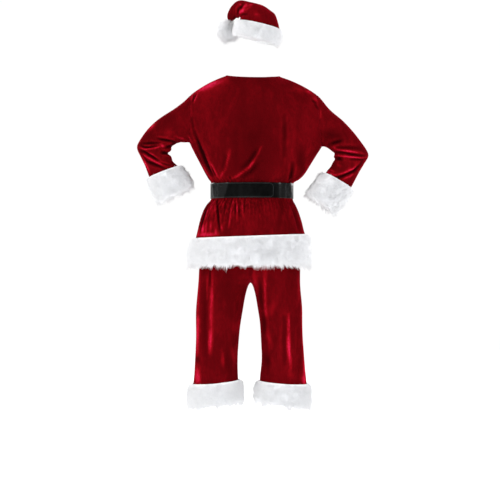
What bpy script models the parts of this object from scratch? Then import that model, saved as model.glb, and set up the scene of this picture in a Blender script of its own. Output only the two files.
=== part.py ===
"""Santa suit: jacket with its belt, trousers and hat, hollow, in the pose in which it is worn.

Metres, +Z up. The suit faces -Y, and +X is the wearer's left. The origin is the middle of the
jacket's neck opening. Each garment is made first as one skin, the outer face of its cloth. The skin
is then cut along its seams into the pieces that a maker cuts, and each piece gets its wall inwards.
"""

import math

import bmesh
import bpy
from mathutils import Vector

# Cloth and plush
WALL = 0.002
WAISTBAND_WALL = 0.003
SEAM_GAP = 0.0003
HEM_PILE = 0.016
CUFF_PILE = 0.015
LEG_PILE = 0.015
HAT_PILE = 0.013
STRIP_PILE = 0.014
STRIP_PRESSED = 0.0035

# Columns round each garment
COARSE = 40
FINE = 80
ARM = 18
ARM_HALF = ARM // 2
HIPS = 36
BRIDGE = 6
LEG = HIPS // 2 + BRIDGE
HAT = 24
TORSO_SHAPE = 2.25
HIP_SHAPE = 2.15
LEG_SHAPE = 2.1

# Front strip and belt
STRIP_HALF = 0.034
STRIP_EDGE = 0.98
BELT_TOP = -0.3975
BELT_BOTTOM = -0.456
BELT_HEIGHT = 0.057
BELT_THICK = 0.0022
BELT_LAP = 0.0030
BELT_CLEAR = 0.0006
BELT_START = 138.0
BELT_END = 568.0
BELT_STEPS = 90
BELT_CORNER = 0.011
BELT_CORNER_TURN = 5.0
# Where the second turn of the strap climbs over the first, in degrees from the front centre
LAP_START = 440.0
LAP_TURN = 45.0
# How far from the front centre the strap starts to climb over the front strip, and where it is up
CLIMB_START = 0.075
CLIMB_RUN = 0.038

# Jacket below the underarm. Height is at x = 0 and tilt is its rise for each metre of x. The four
# reaches are to the wearer's left, right, back and front. Gather is how deep the cloth folds in.
TORSO = (
    # height, tilt, left, right, back, front, gather, columns
    (-0.250, 0.030, 0.2390, 0.2660, 0.140, 0.150, 0.0, COARSE),
    (-0.285, 0.020, 0.2200, 0.2450, 0.143, 0.150, 0.0, FINE),
    (-0.319, 0.010, 0.2005, 0.2250, 0.141, 0.148, 0.0, FINE),
    (-0.347, 0.000, 0.1850, 0.2090, 0.136, 0.145, 0.0030, FINE),
    (-0.371, 0.000, 0.1725, 0.1920, 0.130, 0.137, 0.0055, FINE),
    (-0.388, 0.000, 0.1620, 0.1710, 0.122, 0.1262, 0.0065, FINE),
    (BELT_TOP, 0.000, 0.1545, 0.1550, 0.111, 0.126, 0.0040, FINE),
    (BELT_BOTTOM, 0.000, 0.1545, 0.1550, 0.111, 0.126, 0.0040, FINE),
    (-0.468, 0.000, 0.1640, 0.1600, 0.118, 0.1262, 0.0085, FINE),
    (-0.490, -0.005, 0.1805, 0.1710, 0.130, 0.133, 0.0095, FINE),
    (-0.520, -0.010, 0.1930, 0.1815, 0.141, 0.141, 0.0080, FINE),
    (-0.550, -0.020, 0.2015, 0.1900, 0.149, 0.147, 0.0062, FINE),
    (-0.578, -0.030, 0.2085, 0.1955, 0.154, 0.150, 0.0045, FINE),
)
HEM = (
    (-0.600, -0.036, 0.2147, 0.2014, 0.158, 0.152, 0.0, COARSE),
    (-0.618, -0.036, 0.2190, 0.2022, 0.159, 0.153, 0.0, COARSE),
    (-0.703, 0.000, 0.2300, 0.2045, 0.161, 0.154, 0.0, COARSE),
)
# The largest creases of the body: which face, the ends seen from behind, half width and depth
CREASES = (
    # side, x, z, x, z, width, depth
    ("back", 0.125, -0.392, 0.148, -0.300, 0.012, 0.0065),
    ("back", 0.098, -0.392, 0.070, -0.285, 0.012, 0.0075),
    ("back", 0.070, -0.385, -0.030, -0.275, 0.013, 0.0055),
    ("back", 0.152, -0.378, 0.222, -0.205, 0.014, 0.0070),
    ("back", -0.125, -0.395, -0.130, -0.305, 0.012, 0.0055),
    ("back", -0.060, -0.392, -0.088, -0.318, 0.012, 0.0045),
    ("back", -0.158, -0.372, -0.235, -0.220, 0.014, 0.0050),
    ("front", 0.090, -0.390, 0.105, -0.290, 0.012, 0.0060),
    ("front", 0.135, -0.388, 0.185, -0.250, 0.014, 0.0065),
    ("front", -0.085, -0.392, -0.070, -0.300, 0.012, 0.0060),
    ("front", -0.130, -0.385, -0.190, -0.245, 0.014, 0.0060),
)
# How deep each gather is next to its neighbours, going round from the front
UNEVEN = (
    (0.55, 1.0, 0.7, 0.9, 0.5, 1.0, 0.8, 0.6, 1.0, 0.75)
    + (0.95, 0.55, 0.85, 1.0, 0.6, 0.9, 0.7, 1.0, 0.8, 0.5)
)
# How far each of the four columns of a gather goes in
GATHER_FORM = (0.0, 0.62, 1.0, 0.55)

# Jacket above the underarm
SHOULDER = {"left": (0.2360, -0.002, -0.0635), "right": (-0.2470, -0.002, -0.0610)}
NECK_SIDE = {"left": (0.0980, -0.004, 0.0140), "right": (-0.1060, -0.004, 0.0100)}
NECK_BACK_DEPTH = 0.060
NECK_BACK_DROP = 0.012
NECK_FRONT_DEPTH = 0.078
NECK_FRONT_DROP = 0.078
ARMHOLE_BACK = 0.077
ARMHOLE_FRONT = 0.070
ARMHOLE_DIP = 0.006
SHOULDER_CROWN = 0.008
SHOULDER_STEPS = 5
NECK_STEPS = 10
DEPTH_HOLD = 1.8
SIDE_FADE = 1.5

# Sleeves: outer and inner edge of each ring as seen from behind, half its depth, its middle in Y, and
# how deep the elbow's folds go in on the inner side
SLEEVE = {
    "left": (
        # outer x, outer z, inner x, inner z, depth, middle, fold
        (0.2546, -0.0836, 0.2565, -0.2432, 0.072, 0.000, 0.0),
        (0.3002, -0.1178, 0.2736, -0.2413, 0.067, 0.002, 0.0),
        (0.3534, -0.1520, 0.2888, -0.2489, 0.065, 0.006, 0.0),
        (0.3990, -0.1938, 0.3021, -0.2641, 0.063, 0.012, 0.004),
        (0.4262, -0.2356, 0.3090, -0.2735, 0.062, 0.018, -0.003),
        (0.4370, -0.2610, 0.3150, -0.2825, 0.061, 0.020, 0.004),
        (0.4262, -0.2880, 0.3055, -0.2980, 0.059, 0.018, -0.003),
        (0.4104, -0.3211, 0.3005, -0.3125, 0.057, 0.014, 0.002),
        (0.3990, -0.3496, 0.2890, -0.3240, 0.057, 0.010, 0.0),
        (0.3895, -0.3762, 0.2793, -0.3344, 0.060, 0.006, 0.0),
    ),
    "right": (
        (-0.2679, -0.0817, -0.2774, -0.2584, 0.072, 0.000, 0.0),
        (-0.2964, -0.1197, -0.2888, -0.2641, 0.067, 0.002, 0.0),
        (-0.3382, -0.1520, -0.3021, -0.2755, 0.065, 0.006, 0.0),
        (-0.3800, -0.1957, -0.3116, -0.2888, 0.063, 0.012, 0.004),
        (-0.4142, -0.2413, -0.3100, -0.2975, 0.062, 0.018, -0.003),
        (-0.4440, -0.2869, -0.3105, -0.3065, 0.061, 0.020, 0.004),
        (-0.4320, -0.3116, -0.3060, -0.3195, 0.059, 0.018, -0.003),
        (-0.4130, -0.3439, -0.2965, -0.3330, 0.057, 0.014, 0.002),
        (-0.3940, -0.3800, -0.2860, -0.3460, 0.057, 0.010, 0.0),
        (-0.3743, -0.4161, -0.2775, -0.3600, 0.060, 0.006, 0.0),
    ),
}
CUFF_END = {
    "left": (0.3450, -0.4645, 0.2335, -0.4125, 0.068, 0.005, 0.0),
    "right": (-0.3036, -0.5030, -0.2181, -0.4405, 0.068, 0.005, 0.0),
}
CUFF_TUCK = 0.16

# Trousers: waist and hips, with the same four reaches
WAIST_RING = (0.1484, 0.1489, 0.1050, 0.1196)
WAIST_TOP = -0.405
WAIST_BOTTOM = -0.450
HIP_ROWS = (
    # height, left, right, back, front
    (-0.4515, 0.1478, 0.1483, 0.1043, 0.1186),
    (-0.4680, 0.1490, 0.1470, 0.1045, 0.1135),
    (-0.4900, 0.1580, 0.1550, 0.1130, 0.1190),
    (-0.5300, 0.1680, 0.1630, 0.1240, 0.1250),
    (-0.5800, 0.1780, 0.1700, 0.1320, 0.1300),
    (-0.6400, 0.1900, 0.1780, 0.1340, 0.1280),
    (-0.7000, 0.2005, 0.1824, 0.1310, 0.1230),
    (-0.7450, 0.2025, 0.1824, 0.1220, 0.1140),
)
CROTCH_X = 0.0057
CROTCH_DIP = 0.030
LEG_ROWS = {
    "left": (
        # height at the middle, outer x, inner x, depth, rise towards the inner side for each metre
        (-0.7870, 0.2052, 0.0152, 0.0950, 0.0),
        (-0.8320, 0.2090, 0.0266, 0.0930, 0.0),
        (-0.8780, 0.2128, 0.0342, 0.0910, 0.0),
        (-0.9230, 0.2128, 0.0418, 0.0890, 0.0),
        (-0.9920, 0.2128, 0.0494, 0.0865, 0.0),
        (-1.0600, 0.2166, 0.0532, 0.0840, 0.010),
        (-1.1180, 0.2200, 0.0532, 0.0820, 0.045),
        (-1.1505, 0.2242, 0.0513, 0.0815, 0.098),
        (-1.1665, 0.2255, 0.0508, 0.0815, 0.098),
        (-1.2335, 0.2310, 0.0480, 0.0830, 0.094),
    ),
    "right": (
        (-0.7870, -0.1824, -0.0038, 0.0950, 0.0),
        (-0.8320, -0.1862, -0.0152, 0.0930, 0.0),
        (-0.8780, -0.1900, -0.0228, 0.0910, 0.0),
        (-0.9230, -0.1900, -0.0304, 0.0890, 0.0),
        (-0.9920, -0.1938, -0.0342, 0.0865, 0.0),
        (-1.0600, -0.1995, -0.0380, 0.0840, 0.010),
        (-1.1180, -0.2045, -0.0310, 0.0820, 0.040),
        (-1.1520, -0.2085, -0.0290, 0.0815, 0.073),
        (-1.1680, -0.2085, -0.0280, 0.0815, 0.085),
        (-1.2325, -0.2085, -0.0235, 0.0830, 0.125),
    ),
}
LEG_MIDDLE_Y = 0.004
# Long folds of a leg: the column that goes in, and how deep
LEG_FOLDS_TOP = -0.76
LEG_FOLDS_END = -1.13
LEG_FOLDS = ((2, 0.0050), (6, 0.0060), (12, 0.0065), (16, 0.0060), (19, 0.0040))

# Hat: the crown's rings fan out about a pivot, where the crown folds over to the wearer's left
HAT_PIVOT = Vector((0.0494, 0.0, 0.2316))
HAT_NEAR = 0.005
HAT_FAN = (
    # degrees, length, half depth
    (-13.0, 0.1580, 0.0990),
    (3.0, 0.1408, 0.0960),
    (10.0, 0.1275, 0.0900),
    (24.0, 0.1081, 0.0810),
    (36.5, 0.0898, 0.0720),
    (61.0, 0.0720, 0.0600),
    (87.0, 0.0687, 0.0470),
)
HAT_TAIL = (
    # degrees, x, y, z, half length, half depth
    (110.0, 0.0600, -0.016, 0.2600, 0.0290, 0.0360),
    (138.0, 0.0735, -0.036, 0.2490, 0.0210, 0.0270),
    (162.0, 0.0815, -0.056, 0.2340, 0.0150, 0.0180),
)
HAT_END = Vector((0.0840, -0.068, 0.2210))
# How much lower the rim is at the back, for each metre of Y
HAT_LEAN = 0.10
HAT_TUCK = 0.016
HAT_BAND_RAISE = 0.010
HAT_BAND_HEIGHT = 0.053
POMPOM_RADIUS = 0.034
POMPOM_HANG = Vector((0.36, -0.25, -0.90))

# Buckle
BUCKLE_WIDTH = 0.078
BUCKLE_HEIGHT = 0.076
BUCKLE_RIM = 0.0085
BUCKLE_THICK = 0.004
BUCKLE_BEVEL = 0.0012
BUCKLE_INSET = 0.002
BAR_THICK = 0.0024
BAR_HALF = 0.005
TONGUE_HEIGHT = 0.009
TONGUE_INSET = 0.003
TONGUE_PROUD = 0.002
TONGUE_SUNK = 0.001

# Section of a plush band: how far along it from its top edge, and how high, as shares
PLUSH_SECTION = (
    (-0.02, 0.30),
    (0.05, 0.78),
    (0.22, 1.00),
    (0.55, 1.00),
    (0.86, 0.95),
    (1.00, 0.68),
    (1.03, 0.28),
)
# Section across the front strip: how far from its middle, and how high, as shares
STRIP_SECTION = (
    (-0.98, 0.32),
    (-0.88, 0.80),
    (-0.45, 1.00),
    (0.00, 1.00),
    (0.45, 1.00),
    (0.88, 0.80),
    (0.98, 0.32),
)

FINISHES = {
    # colour, roughness, metallic
    "velvet": ((0.115, 0.006, 0.010), 0.85, 0.0),
    "plush": ((0.86, 0.87, 0.88), 0.95, 0.0),
    "belt_vinyl": ((0.008, 0.008, 0.009), 0.28, 0.0),
    "buckle_metal": ((0.75, 0.55, 0.22), 0.30, 1.0),
}


def clear_scene():
    for thing in list(bpy.data.objects):
        bpy.data.objects.remove(thing)


def finish_material(name):
    colour, roughness, metallic = FINISHES[name]
    material = bpy.data.materials.new(name)
    material.use_nodes = True
    shader = material.node_tree.nodes["Principled BSDF"]
    shader.inputs["Base Color"].default_value = (*colour, 1.0)
    shader.inputs["Roughness"].default_value = roughness
    shader.inputs["Metallic"].default_value = metallic
    return material


def collection_named(name):
    collection = bpy.data.collections.new(name)
    bpy.context.scene.collection.children.link(collection)
    return collection


def add_object(name, mesh, finish):
    """The finished mesh as a named sub-part with its material."""
    bmesh.ops.triangulate(mesh, faces=mesh.faces)
    data = bpy.data.meshes.new(name)
    mesh.to_mesh(data)
    mesh.free()
    data.materials.append(MATERIALS[finish])
    data.shade_smooth()
    data.set_sharp_from_angle(angle=math.radians(40))
    piece = bpy.data.objects.new(name, data)
    SUIT.objects.link(piece)
    return piece


def power(value, shape):
    return math.copysign(abs(value) ** (2 / shape), value)


def section_point(angle, reach, shape):
    """A point of a rounded section, with the angle from the front centre towards the wearer's left."""
    left, right, back, front = reach
    across = power(math.sin(angle), shape)
    along = power(math.cos(angle), shape)
    return Vector((across * (left if across > 0 else right), -along * (front if along > 0 else back), 0))


def torso_angles(left, right, columns):
    """Angles of the columns: those beside the front centre keep the width of the front strip."""
    quarter = columns // 4
    pinned = columns // COARSE
    angles = [0.0] * columns
    for sign, side in ((1, left), (-1, right)):
        for step in range(1, pinned + 1):
            share = (STRIP_HALF * step / pinned / side) ** (TORSO_SHAPE / 2)
            angles[sign * step] = sign * math.asin(share)
        start = abs(angles[sign * pinned])
        for step in range(pinned + 1, quarter + 1):
            share = (step - pinned) / (quarter - pinned)
            angles[sign * step] = sign * (start + (math.pi / 2 - start) * share)
    for step in range(1, columns // 2):
        angles[quarter + step] = math.pi / 2 + math.pi * step / (columns // 2)
    angles[-quarter] = 3 * math.pi / 2
    return angles


def gather_at(column, columns):
    """How far a gather goes in at this column, from 0 to 1, with none under the front strip."""
    if columns != FINE:
        return 0.0
    from_front = min(column, FINE - column)
    fade = min(1.0, max(0.0, (from_front - 2) / 3))
    return fade * GATHER_FORM[column % 4] * UNEVEN[column // 4]


def creased(point):
    """The point moved in towards the body's middle where a crease passes it."""
    depth = 0.0
    for side, x1, z1, x2, z2, width, deep in CREASES:
        if (side == "back") != (point.y > 0):
            continue
        way = Vector((x2 - x1, z2 - z1))
        here = Vector((point.x - x1, point.z - z1))
        share = min(1.0, max(0.0, here.dot(way) / way.length_squared))
        away = (here - way * share).length
        depth += deep * math.exp(-((away / width) ** 2))
    level = Vector((point.x, point.y, 0))
    return point - level.normalized() * depth


def torso_ring(row):
    height, tilt, left, right, back, front, gather, columns = row
    ring = []
    for column, angle in enumerate(torso_angles(left, right, columns)):
        point = section_point(angle, (left, right, back, front), TORSO_SHAPE)
        point -= point.normalized() * gather * gather_at(column, columns)
        point.z = height + tilt * point.x
        ring.append(creased(point) if height > BELT_TOP else point)
    return ring


class Skin:
    """The outer face of one garment, whose faces know which cut piece they belong to."""

    def __init__(self):
        self.mesh = bmesh.new()
        self.number = self.mesh.faces.layers.int.new("piece")
        self.pieces = []

    def row(self, points):
        return [self.mesh.verts.new(point) for point in points]

    def face(self, corners, piece):
        if piece not in self.pieces:
            self.pieces.append(piece)
        self.mesh.faces.new(corners)[self.number] = self.pieces.index(piece)

    def quad(self, a, b, c, d, piece):
        """Two triangles with the diagonal from the first corner."""
        self.face((a, b, c), piece)
        self.face((a, c, d), piece)

    def join(self, upper, lower, piece_at, closed=True):
        """Joins two rows. One of them may have twice the columns of the other."""
        if closed:
            upper = upper + upper[:1]
            lower = lower + lower[:1]
        steps = min(len(upper), len(lower)) - 1
        for i in range(steps):
            piece = piece_at((i + 0.5) / steps)
            if len(upper) == len(lower):
                self.quad(upper[i], lower[i], lower[i + 1], upper[i + 1], piece)
            elif len(upper) < len(lower):
                a, b, c = lower[2 * i : 2 * i + 3]
                self.face((upper[i], a, b), piece)
                self.face((upper[i], b, upper[i + 1]), piece)
                self.face((upper[i + 1], b, c), piece)
            else:
                a, b, c = upper[2 * i : 2 * i + 3]
                self.face((a, lower[i], b), piece)
                self.face((b, lower[i], lower[i + 1]), piece)
                self.face((b, lower[i + 1], c), piece)

    def settle(self, outside, way):
        """Turns every face outwards. The face nearest to the point outside has to look that way."""
        bmesh.ops.recalc_face_normals(self.mesh, faces=self.mesh.faces)
        nearest = min(self.mesh.faces, key=lambda face: (face.calc_center_median() - outside).length)
        if nearest.normal.dot(way) < 0:
            bmesh.ops.reverse_faces(self.mesh, faces=self.mesh.faces)
        self.mesh.normal_update()
        self.mesh.verts.index_update()

    def seam_shift(self, vert, number):
        """How far a point of a piece steps back from the seams beside it."""
        sides = []
        for edge in vert.link_edges:
            faces = list(edge.link_faces)
            numbers = [face[self.number] for face in faces]
            if len(faces) != 2 or number not in numbers or numbers[0] == numbers[1]:
                continue
            own = faces[numbers.index(number)]
            side = (edge.other_vert(vert).co - vert.co).cross(vert.normal).normalized()
            if side.dot(own.calc_center_median() - vert.co) < 0:
                side.negate()
            sides.append(side)
        if not sides:
            return Vector()
        if len(sides) == 1:
            return sides[0] * SEAM_GAP / 2
        first, second = sides[:2]
        return (first + second) / (1 + first.dot(second)) * SEAM_GAP / 2

    def cut(self, piece, wall, finish):
        """Cuts one piece out of the skin and gives it its wall, inwards."""
        number = self.pieces.index(piece)
        faces = [face for face in self.mesh.faces if face[self.number] == number]
        solid = bmesh.new()
        outer = {}
        inner = {}
        for vert in sorted({vert for face in faces for vert in face.verts}, key=lambda v: v.index):
            place = vert.co + self.seam_shift(vert, number)
            outer[vert] = solid.verts.new(place)
            inner[vert] = solid.verts.new(place - vert.normal * wall)
        for face in faces:
            solid.faces.new([outer[vert] for vert in face.verts])
            solid.faces.new([inner[vert] for vert in reversed(face.verts)])
            for loop in face.loops:
                if any(f is not face and f[self.number] == number for f in loop.edge.link_faces):
                    continue
                a, b = loop.vert, loop.link_loop_next.vert
                solid.faces.new((outer[b], outer[a], inner[a]))
                solid.faces.new((outer[b], inner[a], inner[b]))
        return add_object(piece, solid, finish)


def along_path(points, normals, share):
    """Place and normal at a share of a path's length, going straight on past its ends."""
    lengths = [(b - a).length for a, b in zip(points, points[1:])]
    run = share * sum(lengths)
    for i, length in enumerate(lengths):
        if run <= length or i == len(lengths) - 1:
            part = run / length
            normal = normals[i].lerp(normals[i + 1], min(1.0, max(0.0, part)))
            return points[i] + (points[i + 1] - points[i]) * part, normal.normalized()
        run -= length


def loft(loops, closed):
    """A closed solid through loops of points, either round in a ring or with two end caps."""
    solid = bmesh.new()
    rows = [[solid.verts.new(point) for point in loop] for loop in loops]
    pairs = list(zip(rows, rows[1:]))
    if closed:
        pairs.append((rows[-1], rows[0]))
    for one, two in pairs:
        for i in range(len(one)):
            after = (i + 1) % len(one)
            solid.faces.new((one[i], one[after], two[after]))
            solid.faces.new((one[i], two[after], two[i]))
    if not closed:
        solid.faces.new(rows[0])
        solid.faces.new(reversed(rows[-1]))
    bmesh.ops.recalc_face_normals(solid, faces=solid.faces)
    return solid


def plush_band(name, rows, pile, closed=True):
    """A band of plush on the rows top, tuck and bottom, moved out from the cloth that it is sewn on."""
    loops = []
    for column in zip(*rows):
        points = [vert.co for vert in column]
        normals = [vert.normal for vert in column]
        loop = []
        for share, rise in PLUSH_SECTION:
            place, normal = along_path(points, normals, share)
            loop.append(place + normal * (SEAM_GAP + rise * pile))
        for point, normal in zip(reversed(points), reversed(normals)):
            loop.append(point + normal * SEAM_GAP)
        loops.append(loop)
    return add_object(name, loft(loops, closed), "plush")


def jacket_piece(share):
    if share < 0.25:
        return "jacket_front_left"
    return "jacket_back" if share < 0.75 else "jacket_front_right"


def armhole_half(side, under, depth):
    """Points from the underarm up to the shoulder, both ends left out."""
    top = Vector(SHOULDER[side])
    inward = -1 if side == "left" else 1
    points = []
    for step in range(1, ARM_HALF):
        turn = math.pi * step / ARM_HALF
        point = under.lerp(top, (1 - math.cos(turn)) / 2)
        point.y += depth * math.sin(turn)
        point.x += inward * ARMHOLE_DIP * math.sin(turn)
        points.append(point)
    return points


def shoulder_seam(side):
    """Points from the shoulder to the side of the neck, both ends left out."""
    top = Vector(SHOULDER[side])
    neck = Vector(NECK_SIDE[side])
    points = []
    for step in range(1, SHOULDER_STEPS):
        share = step / SHOULDER_STEPS
        point = top.lerp(neck, share)
        point.z += SHOULDER_CROWN * 4 * share * (1 - share)
        points.append(point)
    return points


def neckline(depth, drop):
    """Points from the left side of the neck to the right one, both ends left out."""
    left = Vector(NECK_SIDE["left"])
    right = Vector(NECK_SIDE["right"])
    points = []
    for step in range(1, NECK_STEPS):
        turn = math.pi * step / NECK_STEPS
        point = left.lerp(right, (1 - math.cos(turn)) / 2)
        point.y += depth * math.sin(turn)
        point.z -= drop * math.sin(turn) ** 1.6
        points.append(point)
    return points


def blend_sheet(bottom, top, start, end):
    """Rows of points inside four edges. Its depth holds on up to the shoulders before it turns in."""
    rows = []
    across = len(bottom) - 1
    up = len(start) - 1
    for j in range(1, up):
        v = j / up
        row = []
        for i in range(1, across):
            u = i / across
            point = Vector()
            for axis in range(3):
                w = v**DEPTH_HOLD if axis == 1 else v
                edges = (1 - w) * bottom[i][axis] + w * top[i][axis]
                sides = (1 - u) * start[j][axis] + u * end[j][axis]
                low = (1 - u) * bottom[0][axis] + u * bottom[-1][axis]
                high = (1 - u) * top[0][axis] + u * top[-1][axis]
                sides -= (1 - w) * low + w * high
                fade = abs(2 * u - 1) ** SIDE_FADE if axis == 1 else 1.0
                point[axis] = edges + sides * fade
            row.append(creased(point))
        rows.append(row)
    return rows


def add_sheet(skin, bottom, top, start, end, piece_at):
    """Fills a sheet of the skin between four edges of verts that already exist."""
    inside = blend_sheet(*[[vert.co.copy() for vert in edge] for edge in (bottom, top, start, end)])
    rows = [bottom]
    for j, points in enumerate(inside):
        rows.append([start[j + 1], *skin.row(points), end[j + 1]])
    rows.append(top)
    for lower, upper in zip(rows, rows[1:]):
        skin.join(upper, lower, piece_at, closed=False)
    return rows


def sleeve_ring(row):
    outer_x, outer_z, inner_x, inner_z, depth, middle, fold = row
    outer = Vector((outer_x, middle, outer_z))
    inner = Vector((inner_x, middle, inner_z))
    centre = (outer + inner) / 2
    half = (outer - inner) / 2
    ring = []
    for step in range(ARM):
        turn = 2 * math.pi * step / ARM
        near_inner = max(0.0, math.cos(turn)) ** 2
        reach = 1 - fold / half.length * near_inner
        point = centre - half * math.cos(turn) * reach
        point.y += depth * math.sin(turn)
        ring.append(point)
    return ring


def make_jacket():
    skin = Skin()
    rows = [skin.row(torso_ring(row)) for row in TORSO]
    for upper, lower in zip(rows, rows[1:]):
        skin.join(upper, lower, jacket_piece)
    hem = [skin.row(torso_ring(row)) for row in HEM]
    skin.join(rows[-1], hem[0], jacket_piece)
    skin.join(hem[0], hem[1], jacket_piece)
    skin.join(hem[1], hem[2], lambda share: "behind_hem_plush")

    base = rows[0]
    quarter = COARSE // 4
    under = {"left": base[quarter], "right": base[-quarter]}
    armhole = {}
    for side in ("left", "right"):
        shoulder = skin.row([SHOULDER[side]])
        back = skin.row(armhole_half(side, under[side].co, ARMHOLE_BACK))
        front = skin.row(armhole_half(side, under[side].co, -ARMHOLE_FRONT))
        armhole[side] = [under[side], *back, *shoulder, *reversed(front)]
    seam = {}
    for side in ("left", "right"):
        neck = skin.row([NECK_SIDE[side]])
        seam[side] = [armhole[side][ARM_HALF], *skin.row(shoulder_seam(side)), *neck]
    neck_back = skin.row(neckline(NECK_BACK_DEPTH, NECK_BACK_DROP))
    neck_front = skin.row(neckline(-NECK_FRONT_DEPTH, NECK_FRONT_DROP))
    back_top = [*seam["left"], *neck_back, *reversed(seam["right"])]
    front_top = [*seam["right"], *reversed(neck_front), *reversed(seam["left"])]

    def front_side(side):
        return [armhole[side][0], *reversed(armhole[side][ARM_HALF:])]

    add_sheet(
        skin,
        base[quarter : 3 * quarter + 1],
        back_top,
        armhole["left"][: ARM_HALF + 1],
        armhole["right"][: ARM_HALF + 1],
        lambda share: "jacket_back",
    )
    front_rows = add_sheet(
        skin,
        base[3 * quarter :] + base[: quarter + 1],
        front_top,
        front_side("right"),
        front_side("left"),
        lambda share: "jacket_front_right" if share < 0.5 else "jacket_front_left",
    )

    cuffs = {}
    for side in ("left", "right"):
        name = "sleeve_" + side
        last = armhole[side]
        for row in SLEEVE[side]:
            ring = skin.row(sleeve_ring(row))
            skin.join(last, ring, lambda share, name=name: name)
            last = ring
        end = sleeve_ring(CUFF_END[side])
        tuck = skin.row([vert.co.lerp(point, CUFF_TUCK) for vert, point in zip(last, end)])
        bottom = skin.row(end)
        skin.join(last, tuck, lambda share, name=name: name)
        skin.join(tuck, bottom, lambda share: "behind_cuff_plush")
        cuffs[side] = (last, tuck, bottom)

    skin.settle(Vector((0, 1, -0.3)), Vector((0, 1, 0)))
    skin.cut("jacket_back", WALL, "velvet")
    for part in ("jacket_front_", "sleeve_"):
        for side in ("left", "right"):
            skin.cut(part + side, WALL, "velvet")
    around = slice(1, COARSE)
    plush_band("jacket_hem_plush", [row[around] for row in hem], HEM_PILE, closed=False)
    for side in ("left", "right"):
        plush_band("cuff_plush_" + side, cuffs[side], CUFF_PILE)
    make_front_strip(front_rows, rows[1:] + hem)
    skin.mesh.free()


def strip_pile(height):
    """The strip is pressed flat behind the belt and its buckle, and eases out above and below them."""
    middle = (BELT_TOP + BELT_BOTTOM) / 2
    beyond = abs(height - middle) - BUCKLE_HEIGHT / 2 - 0.005
    share = min(1.0, max(0.0, beyond / 0.030))
    return STRIP_PRESSED + (STRIP_PILE - STRIP_PRESSED) * math.sin(share * math.pi / 2)


def strip_base(row):
    """Five points and normals of a row across the strip, from the wearer's right to the left."""
    if len(row) == FINE:
        picked = [row[i] for i in (-2, -1, 0, 1, 2)]
        return [vert.co.copy() for vert in picked], [vert.normal.copy() for vert in picked]
    right, middle, left = row
    points = [right.co, right.co.lerp(middle.co, 0.5), middle.co, middle.co.lerp(left.co, 0.5), left.co]
    normals = [right.normal, right.normal, middle.normal, left.normal, left.normal]
    return [point.copy() for point in points], [normal.copy() for normal in normals]


def make_front_strip(front_rows, rows):
    """The plush strip down the front, on the columns beside the front centre."""
    centre = COARSE // 4
    columns = [row[centre - 1 : centre + 2] for row in reversed(front_rows)]
    for row in rows:
        columns.append(row if len(row) == FINE else [row[-1], row[0], row[1]])
    loops = []
    for row in columns:
        points, normals = strip_base(row)
        pile = strip_pile(points[2].z)
        loop = []
        for across, rise in STRIP_SECTION:
            place, normal = along_path(points, normals, (across + 1) / 2)
            loop.append(place + normal * (SEAM_GAP + rise * pile))
        for share in (STRIP_EDGE, 0.5, 0.0, -0.5, -STRIP_EDGE):
            place, normal = along_path(points, normals, (share + 1) / 2)
            loop.append(place + normal * SEAM_GAP)
        loops.append(loop)
    return add_object("jacket_front_plush", loft(loops, closed=False), "plush")


def body_at_belt():
    """The four reaches of the jacket behind the belt."""
    return next(row[2:6] for row in TORSO if row[0] == BELT_TOP)


def belt_station(degrees):
    """Inner face of the belt at an angle from the front centre. It runs over its own first turn."""
    angle = math.radians(degrees)
    here = section_point(angle, body_at_belt(), TORSO_SHAPE)
    ahead = section_point(angle + 0.01, body_at_belt(), TORSO_SHAPE)
    out = Vector((ahead.y - here.y, here.x - ahead.x, 0)).normalized()
    lap = min(1.0, max(0.0, (degrees - LAP_START) / LAP_TURN))
    from_front = abs(here.x) if here.y < 0 else 1.0
    climb = min(1.0, max(0.0, (CLIMB_START - from_front) / CLIMB_RUN))
    climb = climb * climb * (3 - 2 * climb)
    level = max(BELT_CLEAR + BELT_LAP * lap, BELT_CLEAR + (strap_seat() - BELT_CLEAR) * climb)
    return here + out * level, out


def strap_seat():
    """How far out the strap lies at the front, over the strip and the buckle's bar."""
    return SEAM_GAP + STRIP_PRESSED + 3 * SEAM_GAP + BAR_THICK


def make_belt():
    middle = (BELT_TOP + BELT_BOTTOM) / 2
    loops = []
    for step in range(BELT_STEPS + 1):
        degrees = BELT_START + (BELT_END - BELT_START) * step / BELT_STEPS
        inner, out = belt_station(degrees)
        outer_end = (BELT_END - degrees) / BELT_CORNER_TURN
        inner_end = (degrees - BELT_START) / 3.0 + 0.5
        missing = 1 - min(1.0, outer_end, inner_end)
        half = BELT_HEIGHT / 2 - BELT_CORNER * (1 - math.sqrt(max(0.0, 1 - missing**2)))
        loop = []
        for depth, height in ((0, half), (BELT_THICK, half), (BELT_THICK, -half), (0, -half)):
            loop.append(inner + out * depth + Vector((0, 0, middle + height)))
        loops.append(loop)
    add_object("belt_strap", loft(loops, closed=False), "belt_vinyl")


def make_box(name, low, high):
    """A helper box between two corners."""
    mesh = bmesh.new()
    size = Vector(high) - Vector(low)
    bmesh.ops.create_cube(mesh, size=1.0)
    bmesh.ops.scale(mesh, vec=size, verts=mesh.verts)
    bmesh.ops.translate(mesh, vec=(Vector(low) + Vector(high)) / 2, verts=mesh.verts)
    data = bpy.data.meshes.new(name)
    mesh.to_mesh(data)
    mesh.free()
    helper = bpy.data.objects.new(name, data)
    HELPERS.objects.link(helper)
    helper.hide_render = True
    helper.display_type = "WIRE"
    return helper


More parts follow.
